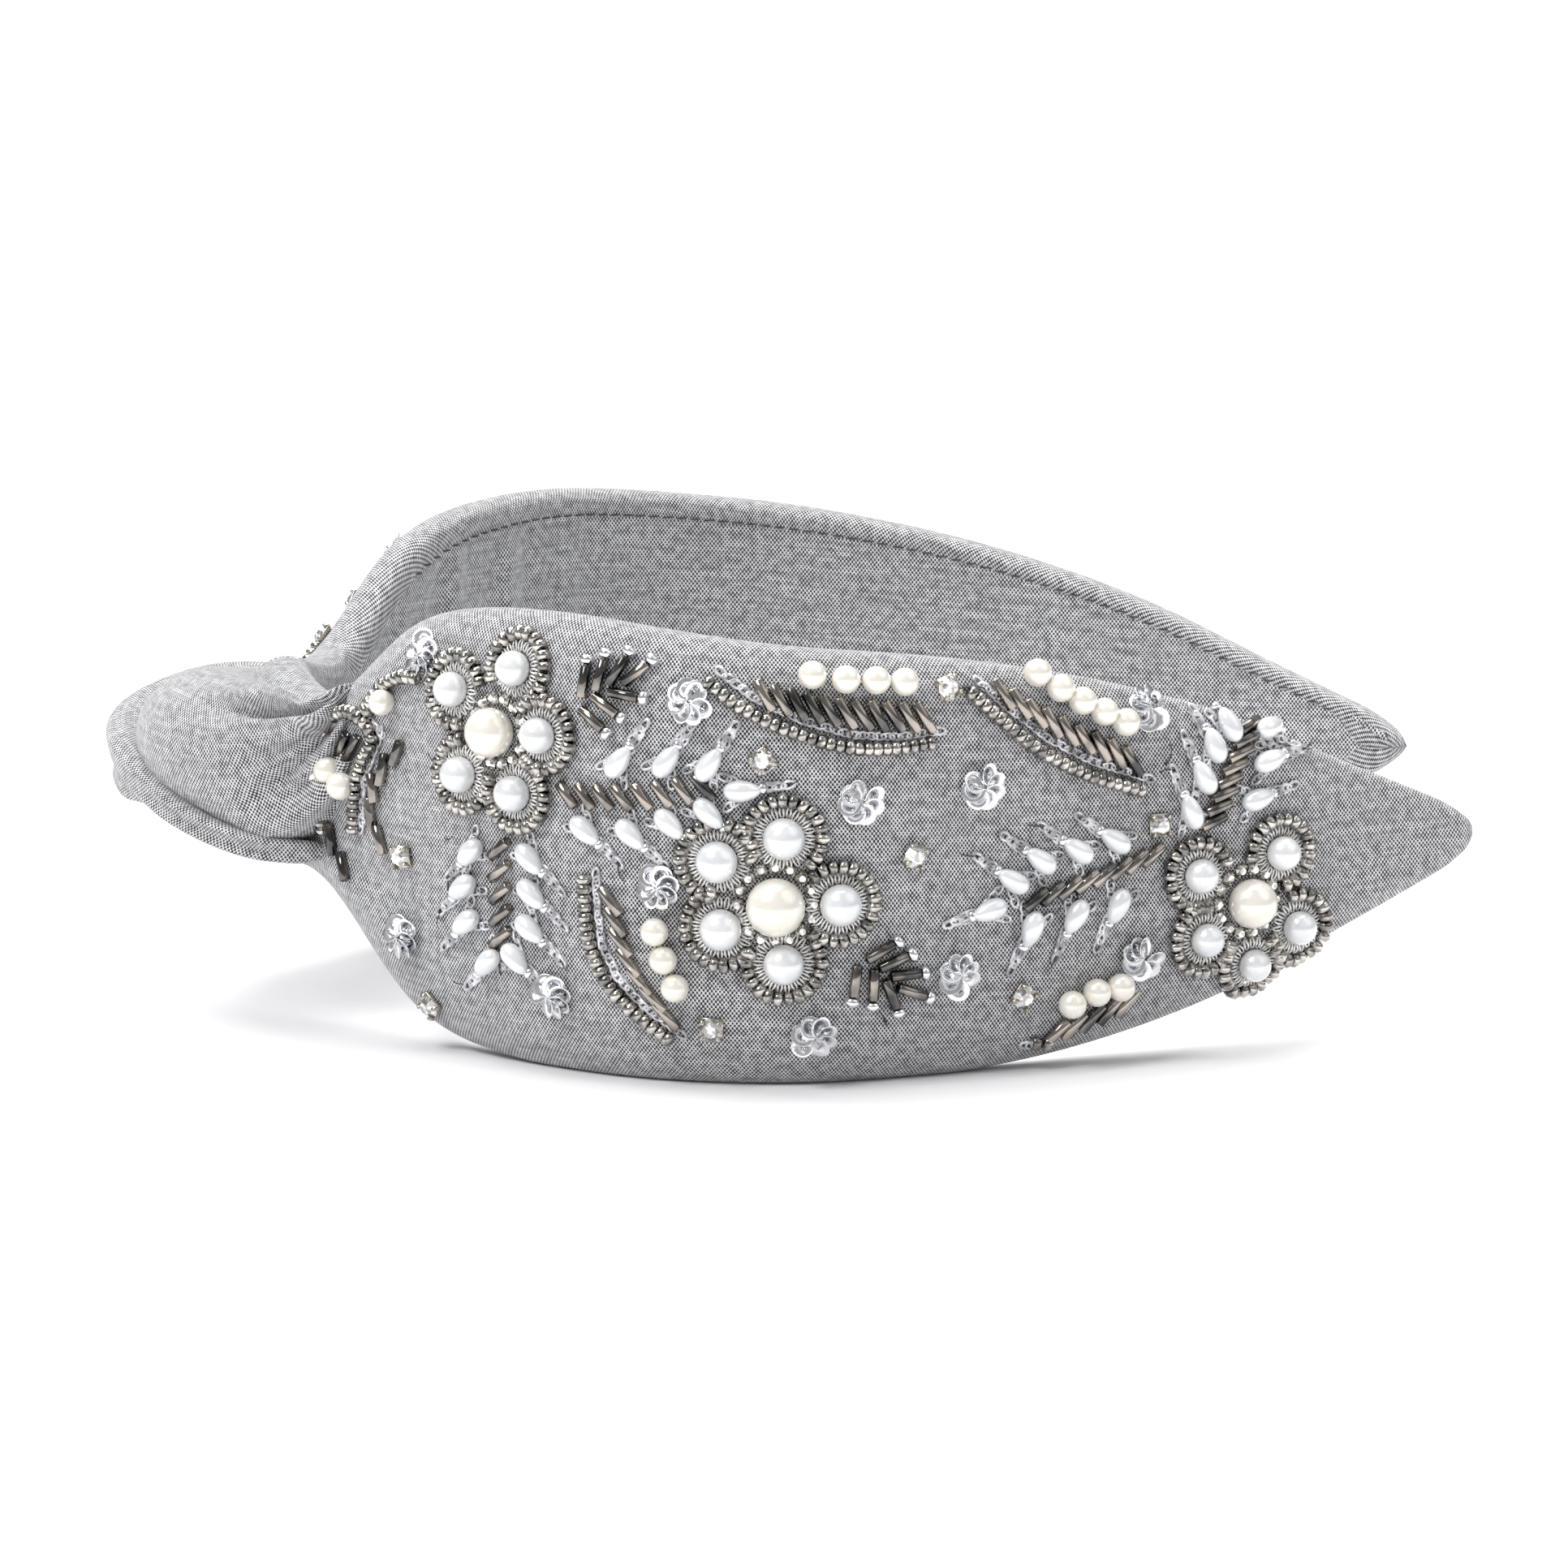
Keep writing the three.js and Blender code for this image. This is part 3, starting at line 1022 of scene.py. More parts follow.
@dataclass
class Knot:
    """The two strips that cross over the crown."""

    crown_x: float

    def lobes(self) -> list[Lobe]:
        """The strips, with spines in millimetres from the crown."""
        return [
            Lobe(
                "knot_loop", "knot_upper_loop",
                spine=((8, -24, 42.5), (4, -23.5, 35.5), (-3, -18, 32), (-9.5, -6, 32.3),
                       (-7, 8, 32), (2, 19, 32), (8, 23, 32)),
                height=(5, 14, 20.4, 18.6, 15, 11, 5), depth=(4, 8, 13, 17, 15, 9, 4),
                tilt=(0, 5, 8, 4, 0, 0, 0),
                creases=(
                    Crease(72, -60, 10, 2.2, -0.2, 0.46), Crease(40, -200, 10, 2.6, -0.2, 0.40),
                    Crease(5, -130, 8, 1.8, -0.1, 0.34), Crease(-35, -90, 9, 1.4, -0.1, 0.30),
                    Crease(-30, -40, 26, -1.6, 0.12, 0.42),
                    Crease(120, 10, 12, 0.9, 0.0, 0.45), Crease(50, -60, 40, -0.8, 0.2, 0.8),
                    Crease(24, -50, 5, 1.3, -0.1, 0.38), Crease(-14, -50, 5, 1.1, -0.1, 0.34),
                    Crease(58, -20, 5, 1.2, -0.1, 0.40),
                    Crease(20, 0, 12, 1.8, 0.60, 1.05), Crease(75, 0, 11, 1.6, 0.58, 1.05),
                    Crease(-35, 0, 12, 1.6, 0.62, 1.05),
                ),
                square=1.02, keen=1.2,
            ),
            Lobe(
                "knot_fold", "knot_lower_fold",
                spine=((4, -21.5, 21.8), (-3.4, -18.6, 22.8), (-10.9, -10.5, 26.9), (-15.0, 2, 33.2),
                       (-9, 14, 33), (2, 21, 33), (8, 23, 34)),
                height=(4, 4.5, 5.2, 7, 11, 9, 5), depth=(5, 9, 13, 15, 12, 8, 4),
                tilt=(0, 5, 10, 12, 0, 0, 0),
                creases=(
                    Crease(-46, 0, 11, -2.2, 0.36, 0.54), Crease(100, -10, 38, 3.6, -0.15, 0.75),
                    Crease(-10, 30, 11, 0.9, 0.02, 0.45), Crease(-60, 20, 12, 0.8, 0.02, 0.4),
                    Crease(20, 0, 12, 1.5, 0.58, 1.05), Crease(-30, 0, 12, 1.4, 0.58, 1.05),
                ),
                square=0.6, keen=0.0,
            ),
        ]

    def build(self) -> None:
        """Make both strips."""
        for lobe in self.lobes():
            lobe.build(self.crown_x)


# --------------------------------------------------------------------------- embroidery


class Beads:
    """Templates of every sewn piece, in millimetres."""

    def __init__(self) -> None:
        """Turn or cut each template once."""
        ring = [(0.42 + 0.42 * math.cos(a), 0.5 * math.sin(a)) for a in np.arange(7) * math.tau / 7]
        self.seed = turned(ring, 10, closed=True)
        self.bugle = turned(
            [(0.32, -0.5), (0.56, -0.5), (0.67, -0.48), (0.67, 0.48), (0.56, 0.5), (0.32, 0.5)],
            10,
            closed=True,
        )
        drop = [
            (math.sin(a) * (1.22 + 0.24 * math.cos(a)), -2.1 * math.cos(a))
            for a in np.arange(11) * math.pi / 10
        ]
        self.rice = turned([(max(r, 0.0), z) for r, z in drop], 14)
        ball = [(math.sin(a), -math.cos(a)) for a in np.arange(11) * math.pi / 10]
        self.ball = turned([(max(r, 0.0), z) for r, z in ball], 18)
        dome = [(math.cos(a), 0.5 + math.sin(a)) for a in np.linspace(-math.pi / 6, math.pi / 2, 12)]
        self.pearl = turned([(0.0, 0.0)] + [(max(r, 0.0), z) for r, z in dome], 28)
        self.sequin = turned(
            [(0.16, 0.0), (0.8, 0.08), (1.38, 0.48), (1.44, 0.42), (0.83, 0.01), (0.18, -0.07)],
            16,
            closed=True,
        )
        self.wire = self.purl()
        self.thread = self.hair()
        self.link = self.chain_link()
        self.brilliant = self.cut_stone()
        self.claws = self.setting()

    @staticmethod
    def keep(bm: bmesh.types.BMesh, smooth: bool) -> bpy.types.Mesh:
        """A template mesh from a bmesh."""
        bmesh.ops.recalc_face_normals(bm, faces=bm.faces)
        for face in bm.faces:
            face.smooth = smooth
        mesh = bpy.data.meshes.new("template")
        bm.to_mesh(mesh)
        bm.free()
        return mesh

    @staticmethod
    def hoop(rx: float, ry: float, thick: float, steps: int, sides: int) -> bmesh.types.BMesh:
        """An oval ring lying flat, turned from a small circle."""
        bm = bmesh.new()
        bmesh.ops.create_circle(
            bm, segments=sides, radius=thick,
            matrix=Matrix.Translation((1, 0, 0)) @ Matrix.Rotation(math.pi / 2, 4, "X"),
        )
        bmesh.ops.spin(
            bm, geom=list(bm.verts) + list(bm.edges), cent=(0, 0, 0), axis=(0, 0, 1),
            angle=math.tau, steps=steps, use_merge=True,
        )
        bmesh.ops.remove_doubles(bm, verts=bm.verts, dist=1e-4)
        for vert in bm.verts:
            reach = math.hypot(vert.co.x, vert.co.y)
            flat = Vector((vert.co.x, vert.co.y, 0)) / reach
            extra = reach - 1
            vert.co = Vector((flat.x * (rx + extra), flat.y * (ry + extra), vert.co.z))
        return bm

    def purl(self) -> bpy.types.Mesh:
        """One raised loop of purl wire, lying along X."""
        bm = self.hoop(0.68, 0.17, 0.10, 8, 4)
        for vert in bm.verts:
            vert.co.z += 0.32 * (1 - (vert.co.x / 0.8) ** 2)
        bmesh.ops.scale(bm, vec=(MM,) * 3, verts=bm.verts)
        return self.keep(bm, True)

    def hair(self) -> bpy.types.Mesh:
        """A loose end of thread, along X from 0 to 1."""
        bm = bmesh.new()
        bmesh.ops.create_cone(
            bm, cap_ends=True, segments=4, radius1=0.07, radius2=0.04, depth=1.0,
            matrix=Matrix.Rotation(math.pi / 2, 4, "Y"),
        )
        lengthwise = [e for e in bm.edges if abs(e.verts[0].co.x - e.verts[1].co.x) > 0.5]
        bmesh.ops.subdivide_edges(bm, edges=lengthwise, cuts=3, use_grid_fill=True)
        for vert in bm.verts:
            t = vert.co.x + 0.5
            vert.co = Vector((t, vert.co.y + 0.25 * t * t, vert.co.z + 0.35 * math.sin(math.pi * t * 0.8)))
        bmesh.ops.scale(bm, vec=(MM,) * 3, verts=bm.verts)
        return self.keep(bm, True)

    def chain_link(self) -> bpy.types.Mesh:
        """One loop of chain stitch, lying along X."""
        bm = self.hoop(0.86, 0.46, 0.20, 8, 5)
        bmesh.ops.scale(bm, vec=(MM,) * 3, verts=bm.verts)
        return self.keep(bm, True)

    def cut_stone(self) -> bpy.types.Mesh:
        """A brilliant of radius 1, standing on Z."""
        bm = bmesh.new()
        bmesh.ops.create_cone(bm, cap_ends=True, segments=8, radius1=1.0, radius2=0.52, depth=0.5)
        bmesh.ops.translate(bm, vec=(0, 0, 0.45), verts=bm.verts)
        girdle = [v for v in bm.verts if v.co.z < 0.3]
        made = bmesh.ops.extrude_edge_only(
            bm, edges=[e for e in bm.edges if all(v in girdle for v in e.verts)]
        )["geom"]
        low = [g for g in made if isinstance(g, bmesh.types.BMVert)]
        bmesh.ops.scale(bm, vec=(0.6, 0.6, 1), verts=low)
        bmesh.ops.translate(bm, vec=(0, 0, -0.2), verts=low)
        bmesh.ops.triangulate(bm, faces=[f for f in bm.faces if len(f.verts) == 4])
        bmesh.ops.scale(bm, vec=(MM,) * 3, verts=bm.verts)
        return self.keep(bm, False)

    def setting(self) -> bpy.types.Mesh:
        """A square cup with four claws, for a stone of radius 1."""
        bm = bmesh.new()
        cup = bmesh.ops.create_cone(
            bm, cap_ends=True, segments=4, radius1=1.15, radius2=1.42, depth=0.5,
            matrix=Matrix.Translation((0, 0, 0.2)),
        )["verts"]
        bmesh.ops.bevel(
            bm, geom=list({e for v in cup for e in v.link_edges}), offset=0.12, segments=2,
            affect="EDGES", profile=0.5, material=-1,
        )
        for k in range(4):
            turn = Matrix.Rotation(math.pi / 2 * k, 4, "Z")
            lean = turn @ Matrix.Translation((1.03, 0, 0.62)) @ Matrix.Rotation(-0.5, 4, "Y")
            bmesh.ops.create_uvsphere(
                bm, u_segments=6, v_segments=5, radius=0.24, matrix=lean @ Matrix.Diagonal((0.9, 0.9, 1.9, 1))
            )
        bmesh.ops.scale(bm, vec=(MM,) * 3, verts=bm.verts)
        return self.keep(bm, True)


def scaled(x: float, y: float, z: float) -> Matrix:
    """A scaling matrix."""
    return Matrix.Diagonal((x, y, z, 1))


class Embroidery:
    """Everything sewn to one arm's outer face."""

    def __init__(self, shape: BandShape, side: Side, beads: Beads) -> None:
        """Set out empty trays.

        Args:
            shape: the band.
            side: which arm.
            beads: the templates.
        """
        self.shape = shape
        self.side = side
        self.beads = beads
        self.dice = random.Random(11)
        self.trays = self.empty_trays("")

    def empty_trays(self, prefix: str) -> dict[str, Tray]:
        """One empty tray for each kind of bead, named with a prefix."""
        return {
            key: Tray(f"{prefix}{key}_{self.side.label}", finish)
            for key, finish in (
                ("seed_beads", Finish.SEED), ("bugle_beads", Finish.BUGLE), ("rice_pearls", Finish.WHITE),
                ("round_pearls", Finish.IVORY), ("sequins", Finish.SEQUIN), ("silver_chain", Finish.THREAD),
                ("purl_wire", Finish.PURL), ("small_stones", Finish.CRYSTAL),
                ("claw_settings", Finish.SETTING),
                ("tip_beads", Finish.SEQUIN), ("thread_ends", Finish.STITCH),
            )
        }

    def spot(self, along: float, up: float) -> Spot:
        """A place on this arm; the far arm's motifs keep further below its upper edge."""
        if self.side is Side.FAR:
            low, high = self.shape.edges(np.array(along))
            share = smoothstep(0.45, 0.9, (up - low) / (high - low)) * smoothstep(52, 64, along)
            up = float(up - 4.2 * share)
        return self.shape.spot(self.side, along, up)

    def inside(self, along: float, up: float, margin: float = 0.9) -> tuple[float, float]:
        """The same place, held a little way inside the cover's edges."""
        low, high = self.shape.edges(np.array(along))
        return along, float(np.clip(up, low + margin, high - margin))

    def jitter(self, size: float) -> float:
        """A small seeded difference."""
        return self.dice.uniform(-size, size)

    def path(self, points: Sequence[tuple[float, float]], pitch: float) -> list[tuple[float, float, float]]:
        """Even steps over the face along a smooth curve.

        Args:
            points: (along, up) points of the curve.
            pitch: true distance between steps.

        Returns:
            (along, up, angle) of each step, with the angle in degrees.
        """
        curve = BandShape.through(np.array(points, float), 20)
        world = [self.shape.face(self.side.value * a, u) for a, u in curve]
        steps = [(q - p).length / MM for p, q in zip(world, world[1:], strict=False)]
        run = np.concatenate([[0], np.cumsum(steps)])
        count = max(int(round(run[-1] / pitch)), 1)
        out = []
        for k in range(count + 1):
            d = run[-1] * k / count
            a, u = np.interp(d, run, curve[:, 0]), np.interp(d, run, curve[:, 1])
            a2, u2 = np.interp(d + 0.2, run, curve[:, 0]), np.interp(d + 0.2, run, curve[:, 1])
            a1, u1 = np.interp(d - 0.2, run, curve[:, 0]), np.interp(d - 0.2, run, curve[:, 1])
            # Roughly one over the distance along that one true millimetre covers.
            stretch = 1 + (self.shape.shifted(a, u, 1, 0)[0] - a - 1) * -1
            out.append((a, u, math.degrees(math.atan2(u2 - u1, (a2 - a1) * stretch))))
        return out

    # single pieces

    def seed(
        self, along: float, up: float, angle: float, size: float = 1.0, tray: str = "seed_beads"
    ) -> None:
        """Sew one seed bead with its hole along an angle."""
        spot = self.spot(along, up)
        matrix = spot.lying(spot.heading(angle + self.jitter(7)), (0.62 + self.jitter(0.06)) * size * MM)
        grow = SEED_GROWTH * size * (1 + self.jitter(0.06))
        self.trays[tray].stamp(self.beads.seed, matrix @ scaled(grow, grow, grow * 1.02))

    def bugle(self, along: float, up: float, angle: float, length: float = 4.0) -> None:
        """Sew one bugle bead, centred, along an angle."""
        spot = self.spot(along, up)
        heading = spot.heading(angle + self.jitter(3)) + spot.normal * self.jitter(0.05)
        matrix = spot.lying(heading, 0.6 * MM) @ Matrix.Rotation(self.dice.uniform(0, 1), 4, "Z")
        self.trays["bugle_beads"].stamp(self.beads.bugle, matrix @ scaled(1, 1, length))

    def chain(self, start: tuple[float, float], end: tuple[float, float], bow: float = 0.0) -> None:
        """Work a line of chain stitch between two places, bowed sideways."""
        (a0, u0), (a1, u1) = start, end
        middle = ((a0 + a1) / 2 - (u1 - u0) * bow, (u0 + u1) / 2 + (a1 - a0) * bow)
        for along, up, angle in self.path([start, middle, end], 1.08):
            spot = self.spot(along, up)
            matrix = spot.standing(0.22 * MM, angle + self.jitter(12))
            roll = Matrix.Rotation(self.jitter(0.35), 4, "X")
            self.trays["silver_chain"].stamp(self.beads.link, matrix @ roll)

    def purl_ring(self, along: float, up: float, radius: float, count: int) -> None:
        """Sew purl wire like rays round a pearl."""
        for k in range(count):
            angle = 360 / count * k
            right, rise = math.cos(math.radians(angle)) * radius, math.sin(math.radians(angle)) * radius
            spot = self.spot(*self.shape.shifted(along, up, right, rise))
            matrix = spot.standing(0.3 * MM, angle + self.jitter(5))
            self.trays["purl_wire"].stamp(self.beads.wire, matrix @ scaled(1.1 + self.jitter(0.12), 1.5, 1.3))

    def claw_stone(self, spot: Spot, radius: float, angle: float) -> None:
        """Set one stone in its claws."""
        base = spot.standing(0.05 * MM, angle)
        self.trays["claw_settings"].stamp(self.beads.claws, base @ scaled(radius, radius, radius * 0.95))
        lift = Matrix.Translation((0, 0, 0.25 * radius * MM))
        self.trays["small_stones"].stamp(self.beads.brilliant, base @ lift @ scaled(radius, radius, radius))

    def round_pearl(self, along: float, up: float, radius: float = 1.72) -> None:
        """Sew one round pearl."""
        spot = self.spot(along, up)
        matrix = spot.standing((radius * 0.92) * MM, self.dice.uniform(0, 90))
        self.trays["round_pearls"].stamp(self.beads.ball, matrix @ scaled(radius, radius, radius))

    # motifs

    def flower(self, name: str) -> None:
        """Dress one CAD flower: pearls, purl rays, seed outline and small stones.

        Args:
            name: the flower's name in the CAD nodes, without its suffixes.
        """
        centre_node = f"{name}_centre_{self.side.label}"
        petal_nodes = [f"{name}_petal_{i}_{self.side.label}" for i in range(1, 6)]
        centre = self.shape.locate(centre_node)
        low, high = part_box(centre_node)
        radius = (high.z - low.z) / 2 / MM
        self.pearls(f"{name}_centre_pearl", Finish.IVORY, [(centre_node, centre, radius)])
        petals = []
        for node in petal_nodes:
            low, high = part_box(node)
            petals.append((node, self.shape.locate(node), (high.z - low.z) / 2 / MM))
        self.pearls(f"{name}_petal_pearls", Finish.WHITE, petals)
        stones = round(math.tau * (radius + 0.95) / 1.75)
        for k in range(stones):
            angle = 360 / stones * k
            right = math.cos(math.radians(angle)) * (radius + 0.95)
            rise = math.sin(math.radians(angle)) * (radius + 0.95)
            self.claw_stone(self.spot(*self.shape.shifted(*centre, right, rise)), 0.78, angle + 45)
        stretch = 1 / (self.shape.shifted(*centre, 1, 0)[0] - centre[0])
        for _, (along, up), size in petals:
            self.purl_ring(along, up, size + PETAL_RAYS, round(7.4 * (size + PETAL_RAYS)))
            outward = math.degrees(math.atan2(up - centre[1], (along - centre[0]) * stretch))
            reach = size + PETAL_OUTLINE
            steps = round(math.radians(260) * reach / 1.2)
            for k in range(steps + 1):
                angle = outward - 130 + 260 * k / steps
                right, rise = math.cos(math.radians(angle)) * reach, math.sin(math.radians(angle)) * reach
                place = self.shape.shifted(along, up, right, rise)
                if self.clear(place, centre, radius + 2.1, stretch) and all(
                    self.clear(place, other, grown + 1.25, stretch)
                    for _, other, grown in petals
                    if other != (along, up)
                ):
                    self.seed(*place, angle + 90)

    @staticmethod
    def clear(place: tuple, other: tuple, gap: float, stretch: float) -> bool:
        """Whether two places are at least a gap apart over the face."""
        return math.hypot((place[0] - other[0]) * stretch, place[1] - other[1]) > gap

    def pearls(self, name: str, finish: Finish, places: list) -> None:
        """Make the smooth pearls that stand for some CAD nodes.

        Args:
            name: the piece's name, without the arm.
            finish: their finish.
            places: (node, (along, up), radius) of each pearl.
        """
        tray = Tray(f"{name}_{self.side.label}", finish)
        for _, (along, up), radius in places:
            matrix = self.spot(along, up).standing(0.3 * MM)
            tray.stamp(self.beads.pearl, matrix @ scaled(radius, radius, radius))
        piece = tray.empty_onto(self.side.body)
        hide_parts(*[node for node, _, _ in places])

    def fan(self, along: float, up: float, turn: float) -> None:
        """Seven bugles that spread from one place, each with a bright bead at its tip."""
        stems = (
            (0.4, 2.3, 88), (2.4, 3.2, 80), (4.6, 3.9, 62), (6.9, 3.7, 42),
            (5.6, 1.2, -4), (3.4, -0.2, -30), (1.8, -1.9, -36),
        )
        c, s = math.cos(math.radians(turn)), math.sin(math.radians(turn))
        for x, y, angle in stems:
            place = self.shape.shifted(along, up, x * c - y * s, x * s + y * c)
            self.bugle(*place, angle + turn, 3.8)
            heading = math.radians(angle + turn)
            tip = self.shape.shifted(*place, 2.55 * math.cos(heading), 2.55 * math.sin(heading))
            self.seed(*tip, angle + turn, 0.95, "tip_beads")

    def leaf(
        self, arc: Sequence[tuple[float, float]], pearls: Sequence[tuple[float, float]],
        rib: Sequence[tuple[float, float]], bugles: int, slant: float, edge: tuple[float, float] = (1.3, 1.3),
    ) -> None:
        """A leaf: an arc of seeds, chain stitch inside it, slanted bugles and a row of pearls.

        Args:
            arc: the seed arc.
            pearls: places of the round pearls.
            rib: the line through the bugles' middles.
            bugles: how many.
            slant: their angle.
            edge: how far tipward and up the chain lies from the seeds.
        """
        for along, up, angle in self.path(arc, 1.13):
            self.seed(along, up, angle)
        inner = [self.shape.shifted(a, u, *edge) for a, u in arc]
        for start, end in zip(inner, inner[1:], strict=False):
            self.chain(start, end)
        for k, (along, up, _) in enumerate(self.path(rib, self.rib_pitch(rib, bugles))):
            if k < bugles:
                self.bugle(along, up, slant, 4.1)
        for along, up in pearls:
            self.round_pearl(along, up)

    def rib_pitch(self, rib: Sequence[tuple[float, float]], count: int) -> float:
        """The pitch that fits a number of bugles on a rib."""
        return sum(math.dist(p, q) for p, q in zip(rib, rib[1:], strict=False)) * 1.08 / max(count - 1, 1)

    def spray(
        self,
        rib: Sequence[tuple[float, float]],
        bugles: int,
        slant: float,
        rice: Sequence[tuple[float, float]],
    ) -> None:
        """A spray: bugles along a rib, rice pearls on both sides, each inside a chain-stitched V.

        Args:
            rib: from the spray's foot to its tip.
            bugles: how many along the rib.
            slant: their angle.
            rice: places of the rice pearls.
        """
        for k, (along, up, _) in enumerate(self.path(rib, self.rib_pitch(rib, bugles))):
            if k < bugles:
                self.bugle(along, up, slant, 3.6)
        foot, tip = np.array(rib[0], float), np.array(rib[-1], float)
        line = (tip - foot) / np.linalg.norm(tip - foot)
        for along, up in rice:
            away = np.array([along, up]) - foot
            off = away - line * (away @ line)
            size = np.linalg.norm(off)
            heading = line * 0.85 + (off / size if size > 1 else 0)
            angle = math.degrees(math.atan2(heading[1], heading[0]))
            self.rice_pearl(along, up, angle)

    def rice_pearl(self, along: float, up: float, angle: float) -> None:
        """One rice pearl, with a bright bead at its end and a chain-stitched V round it."""
        spot = self.spot(along, up)
        matrix = spot.lying(spot.heading(angle + self.jitter(6)), 1.0 * MM)
        self.trays["rice_pearls"].stamp(self.beads.rice, matrix @ scaled(1.06, 1.06, 1.08))
        a, c, s = math.radians(angle), math.cos(math.radians(angle)), math.sin(math.radians(angle))
        end = self.shape.shifted(along, up, 2.35 * c, 2.35 * s)
        self.seed(*end, angle, 0.8, "tip_beads")
        apex = self.inside(*self.shape.shifted(along, up, 5.3 * c, 5.3 * s))
        for sign in (-1, 1):
            x, y = -1.9 * c - sign * 1.75 * math.sin(a), -1.9 * s + sign * 1.75 * math.cos(a)
            self.chain(self.inside(*self.shape.shifted(along, up, x, y)), apex, bow=-0.14 * sign)
        if self.dice.random() < 0.6:
            self.loose_end(*apex, angle + self.jitter(70))

    def loose_end(self, along: float, up: float, angle: float) -> None:
        """Leave one end of thread standing."""
        matrix = self.spot(along, up).standing(0.1 * MM, angle) @ Matrix.Rotation(self.jitter(0.7), 4, "X")
        length = self.dice.uniform(1.4, 2.8)
        self.trays["thread_ends"].stamp(self.beads.thread, matrix @ scaled(length, length, length * 0.7))

    def rosette(self, along: float, up: float, turn: float) -> None:
        """Cupped sequins that overlap like a fan round a bright bead."""
        for k in range(7):
            angle = turn + 46 * k
            reach = 1.15 + 0.08 * k
            right, rise = reach * math.cos(math.radians(angle)), reach * math.sin(math.radians(angle))
            spot = self.spot(*self.shape.shifted(along, up, right, rise))
            base = spot.standing((0.75 + 0.05 * k) * MM, angle)
            tilt = Matrix.Rotation(math.radians(27), 4, "X") @ Matrix.Rotation(math.radians(8), 4, "Y")
            self.trays["sequins"].stamp(self.beads.sequin, base @ tilt)
        self.seed(along, up, turn, 0.8, "tip_beads")

    def knot_leaf(self) -> None:
        """The small leaf beside the knot."""
        self.leaf(
            arc=(
                (21.8, 37.4), (24.6, 39.2), (28.2, 39.4), (30.8, 37.6),
                (29.4, 34.2), (28.4, 30.4), (27.6, 25.6),
            ),
            pearls=((22.0, 31.5), (24.3, 32.0), (26.9, 30.9)),
            rib=((21.6, 35.4), (27.0, 35.2)), bugles=4, slant=58, edge=(1.2, 0.3),
        )
        for along, up, angle, length in (
            (33.0, 33.5, 84, 4.0), (31.6, 31.2, 104, 3.6), (31.0, 28.0, 98, 4.0), (32.6, 25.0, 110, 3.6),
            (35.2, 35.8, 66, 3.2), (23.0, 23.6, 100, 4.0), (25.6, 20.6, 118, 3.6),
        ):
            self.bugle(along, up, angle, length)
        for arc in (
            ((20.6, 29.4), (21.6, 27.0), (21.2, 24.6)),
            ((30.0, 40.4), (32.4, 43.4), (35.6, 45.0), (38.2, 45.2)),
        ):
            for along, up, angle in self.path(arc, 1.13):
                self.seed(along, up, angle)
        self.round_pearl(33.6, 41.8, 1.6)

    def build(self, bend: Callable[[bpy.types.Object], None]) -> None:
        """Sew every motif, then make the pieces.

        Args:
            bend: bakes each knot-leaf piece's placement into its mesh.
        """
        for name in ("crown_flower", "middle_flower", "tip_flower"):
            self.flower(name)
        self.fan(63.2, 45.4, 0)
        self.fan(93.0, 15.6, -62)
        self.leaf(
            arc=((77.4, 48.4), (80.8, 45.7), (85.8, 43.0), (91.1, 41.0), (95.8, 40.5), (101.1, 40.8)),
            pearls=((88.0, 49.0), (91.4, 48.4), (94.7, 48.1), (98.0, 47.7)),
            rib=((83.2, 47.0), (91.5, 44.8), (100.4, 43.8)), bugles=11, slant=-62,
        )
        self.leaf(
            arc=((106.9, 46.0), (110.5, 42.7), (115.2, 38.9), (121.3, 35.6), (128.7, 33.0)),
            pearls=((115.4, 47.0), (118.1, 45.4), (120.8, 43.9), (123.6, 42.5), (126.4, 41.1)),
            rib=((111.0, 45.6), (118.0, 41.4), (127.6, 36.6)), bugles=10, slant=-62,
        )
        self.leaf(
            arc=((63.9, 24.3), (64.1, 20.3), (64.7, 16.2), (66.5, 12.3), (69.2, 9.2), (73.1, 6.0)),
            pearls=((72.1, 18.9), (73.0, 15.6), (74.2, 12.4)),
            rib=((67.0, 22.0), (69.0, 15.0), (73.0, 8.8)), bugles=7, slant=-48, edge=(1.4, 0.6),
        )
        self.leaf(
            arc=((115.4, 3.6), (117.0, 3.4)), pearls=((119.2, 8.3), (122.4, 9.4), (125.7, 9.7)),
            rib=((118.0, 4.6), (127.2, 7.4)), bugles=5, slant=50, edge=(-1.0, -0.4),
        )
        self.spray(
            rib=((52.3, 26.6), (52.2, 15.8)), bugles=5, slant=38,
            rice=((48.0, 25.6), (46.7, 21.2), (47.2, 17.0), (57.0, 26.0), (57.2, 21.8), (56.8, 17.5),
                  (54.6, 13.6), (50.4, 12.6)),
        )
        self.spray(
            rib=((61.8, 34.2), (69.0, 34.6), (77.0, 36.2)), bugles=8, slant=-50,
            rice=((68.1, 38.8), (73.2, 39.2), (77.6, 39.0), (81.0, 36.0), (64.2, 30.2), (69.4, 30.3),
                  (73.6, 31.8), (77.6, 33.2)),
        )
        self.spray(
            rib=((130.3, 25.0), (122.0, 22.8), (114.7, 21.0)), bugles=8, slant=38,
            rice=((125.0, 27.3), (120.0, 26.6), (115.2, 25.8), (111.6, 23.6), (108.6, 20.3), (114.0, 17.6),
                  (119.8, 18.6), (125.4, 19.4)),
        )
        self.spray(
            rib=((138.6, 28.4), (141.6, 34.4), (144.2, 39.0)), bugles=8, slant=18,
            rice=((141.2, 39.4), (138.9, 37.4), (137.2, 33.8), (135.4, 29.9), (147.0, 38.2), (146.4, 35.0),
                  (144.7, 30.6)),
        )
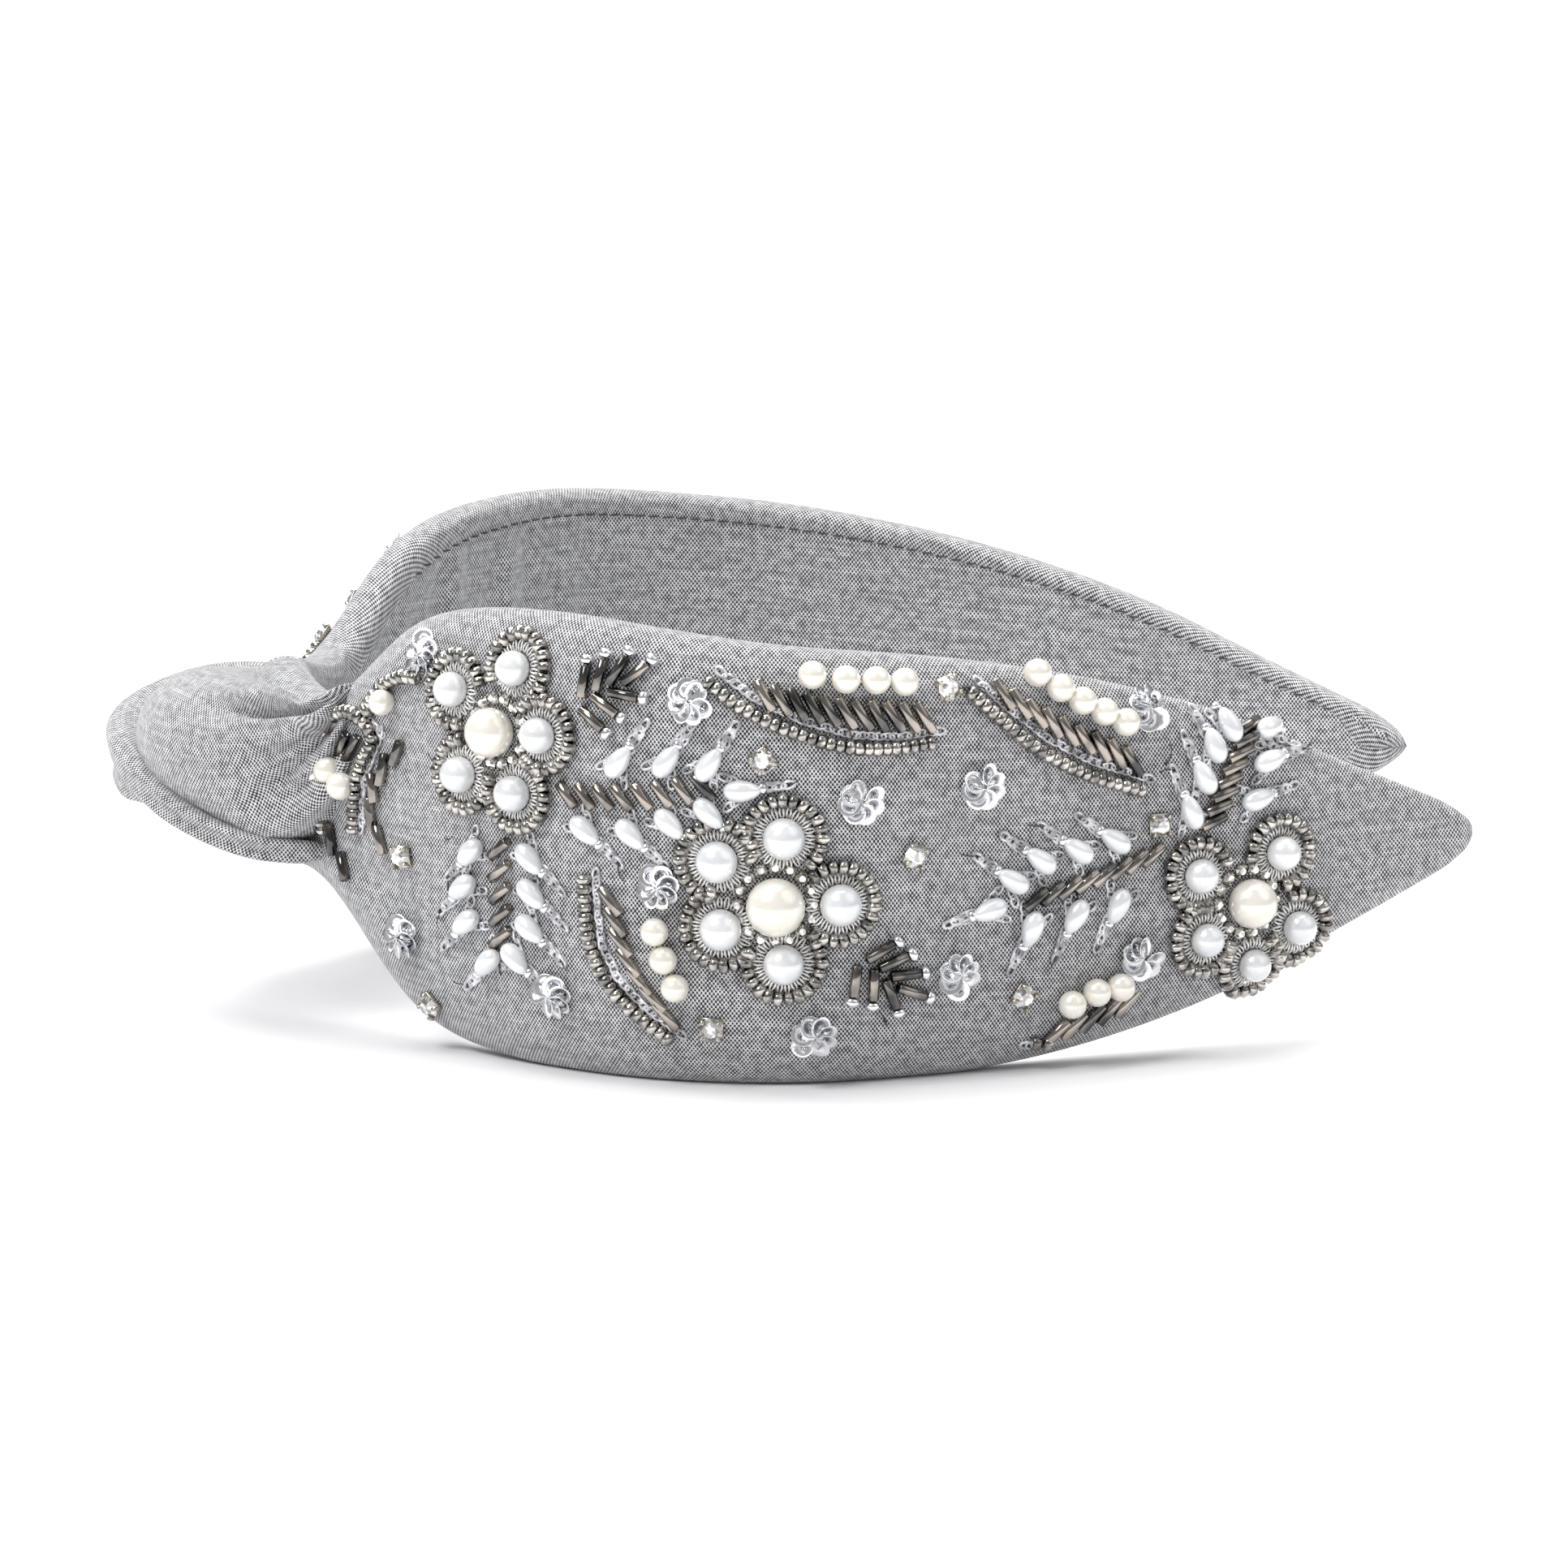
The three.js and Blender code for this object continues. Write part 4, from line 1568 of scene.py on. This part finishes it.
        for k, (along, up) in enumerate((
            (75.5, 46.4), (92.6, 34.6), (107.6, 35.2), (72.2, 24.1), (59.6, 9.6), (88.3, 6.5), (104.9, 12.8),
            (130.2, 42.4), (128.8, 12.9), (36.3, 14.0), (39.0, 48.0),
        )):
            self.rosette(along, up, 60 + 47 * k)
        for i in range(1, 9):
            node = f"rhinestone_{i}_{self.side.label}"
            self.claw_stone(self.spot(*self.shape.locate(node)), 1.5, 20 + 37 * i)
        if self.side is Side.FAR:
            for along, up in ((47.0, 51.0), (38.5, 48.0), (31.0, 43.6), (23.0, 40.6)):
                self.claw_stone(self.spot(along, up), 1.25, 30 + 11 * along)
        for _ in range(26):
            self.loose_end(
                *self.inside(self.dice.uniform(40, 150), self.dice.uniform(5, 50), 3.0),
                self.dice.uniform(0, 360),
            )
        made = {key: tray.empty_onto(self.side.body) for key, tray in self.trays.items()}
        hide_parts(*[f"rhinestone_{i}_{self.side.label}" for i in range(1, 9)])
        self.trays = self.empty_trays("knot_leaf_")
        self.knot_leaf()
        for tray in self.trays.values():
            if piece := tray.piece():
                bend(piece)


# --------------------------------------------------------------------------- studio


@dataclass
class Studio:
    """Floor, lights and camera."""

    azimuth: float = -4.55
    elevation: float = 10.3
    distance: float = 1.3
    target: tuple[float, float, float] = (0.0004, 0.0, 0.0252)
    lens: float = 242.2
    ambient: float = 0.38

    def build(self) -> None:
        """Set the stage."""
        scene = bpy.context.scene
        scene.view_settings.view_transform = "Standard"
        world = bpy.data.worlds.new("studio")
        scene.world = world
        world.use_nodes = True
        background = world.node_tree.nodes["Background"]
        background.inputs["Color"].default_value = (1, 1, 1, 1)
        background.inputs["Strength"].default_value = self.ambient
        bm = bmesh.new()
        bmesh.ops.create_grid(bm, x_segments=1, y_segments=1, size=6.0)
        mesh = bpy.data.meshes.new("floor")
        bm.to_mesh(mesh)
        bm.free()
        floor = bpy.data.objects.new("floor", mesh)
        scene.collection.objects.link(floor)
        n = Nodes("white_paper")
        n.put(Base_Color=(0.84, 0.84, 0.85, 1), Roughness=0.9)
        mesh.materials.append(n.material)
        self.light("key", (-0.70, -0.50, 1.1), 26, 1.7)
        self.light("fill", (0.9, -0.3, 0.9), 50, 0.4)
        self.light("top", (-0.15, 0.45, 1.1), 60, 3.6)
        self.camera()

    def light(self, name: str, place: tuple[float, float, float], spread: float, power: float) -> None:
        """Shine one distant soft light at the headband.

        Args:
            name: the light's name.
            place: the direction that it comes from.
            spread: its angle in degrees.
            power: its strength.
        """
        data = bpy.data.lights.new(name, "SUN")
        data.angle = math.radians(spread)
        data.energy = power
        lamp = bpy.data.objects.new(name, data)
        lamp.location = place
        lamp.rotation_euler = Vector(place).to_track_quat("Z", "Y").to_euler()
        bpy.context.scene.collection.objects.link(lamp)

    def camera(self) -> None:
        """Stand the camera."""
        data = bpy.data.cameras.new("camera")
        data.lens, data.sensor_width = self.lens, 36.0
        data.clip_start, data.clip_end = 0.05, 20.0
        a, e = math.radians(self.azimuth), math.radians(self.elevation)
        back = Vector((math.sin(a) * math.cos(e), -math.cos(a) * math.cos(e), math.sin(e)))
        camera = bpy.data.objects.new("camera", data)
        camera.location = Vector(self.target) + back * self.distance
        camera.rotation_euler = (-back).to_track_quat("-Z", "Y").to_euler()
        bpy.context.scene.collection.objects.link(camera)
        bpy.context.scene.camera = camera


def main() -> None:
    """Build the headband and the studio."""
    logging.basicConfig(level=logging.INFO, format="%(name)s: %(message)s")
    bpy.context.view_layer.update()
    Studio().build()
    shape = BandShape()
    beads = Beads()
    for side in Side:
        padding = Padding(shape, side)
        padding.build_cover()
        padding.build_foam()
        inside = Inside(shape, padding, side)
        inside.build_lining()
        inside.build_core()
        inside.build_stitches()
        Embroidery(shape, side, beads).build(padding.bend)
    Knot(crown_x=float(np.interp(0, shape.run, shape.points[:, 0]))).build()


if __name__ == "__main__":
    main()
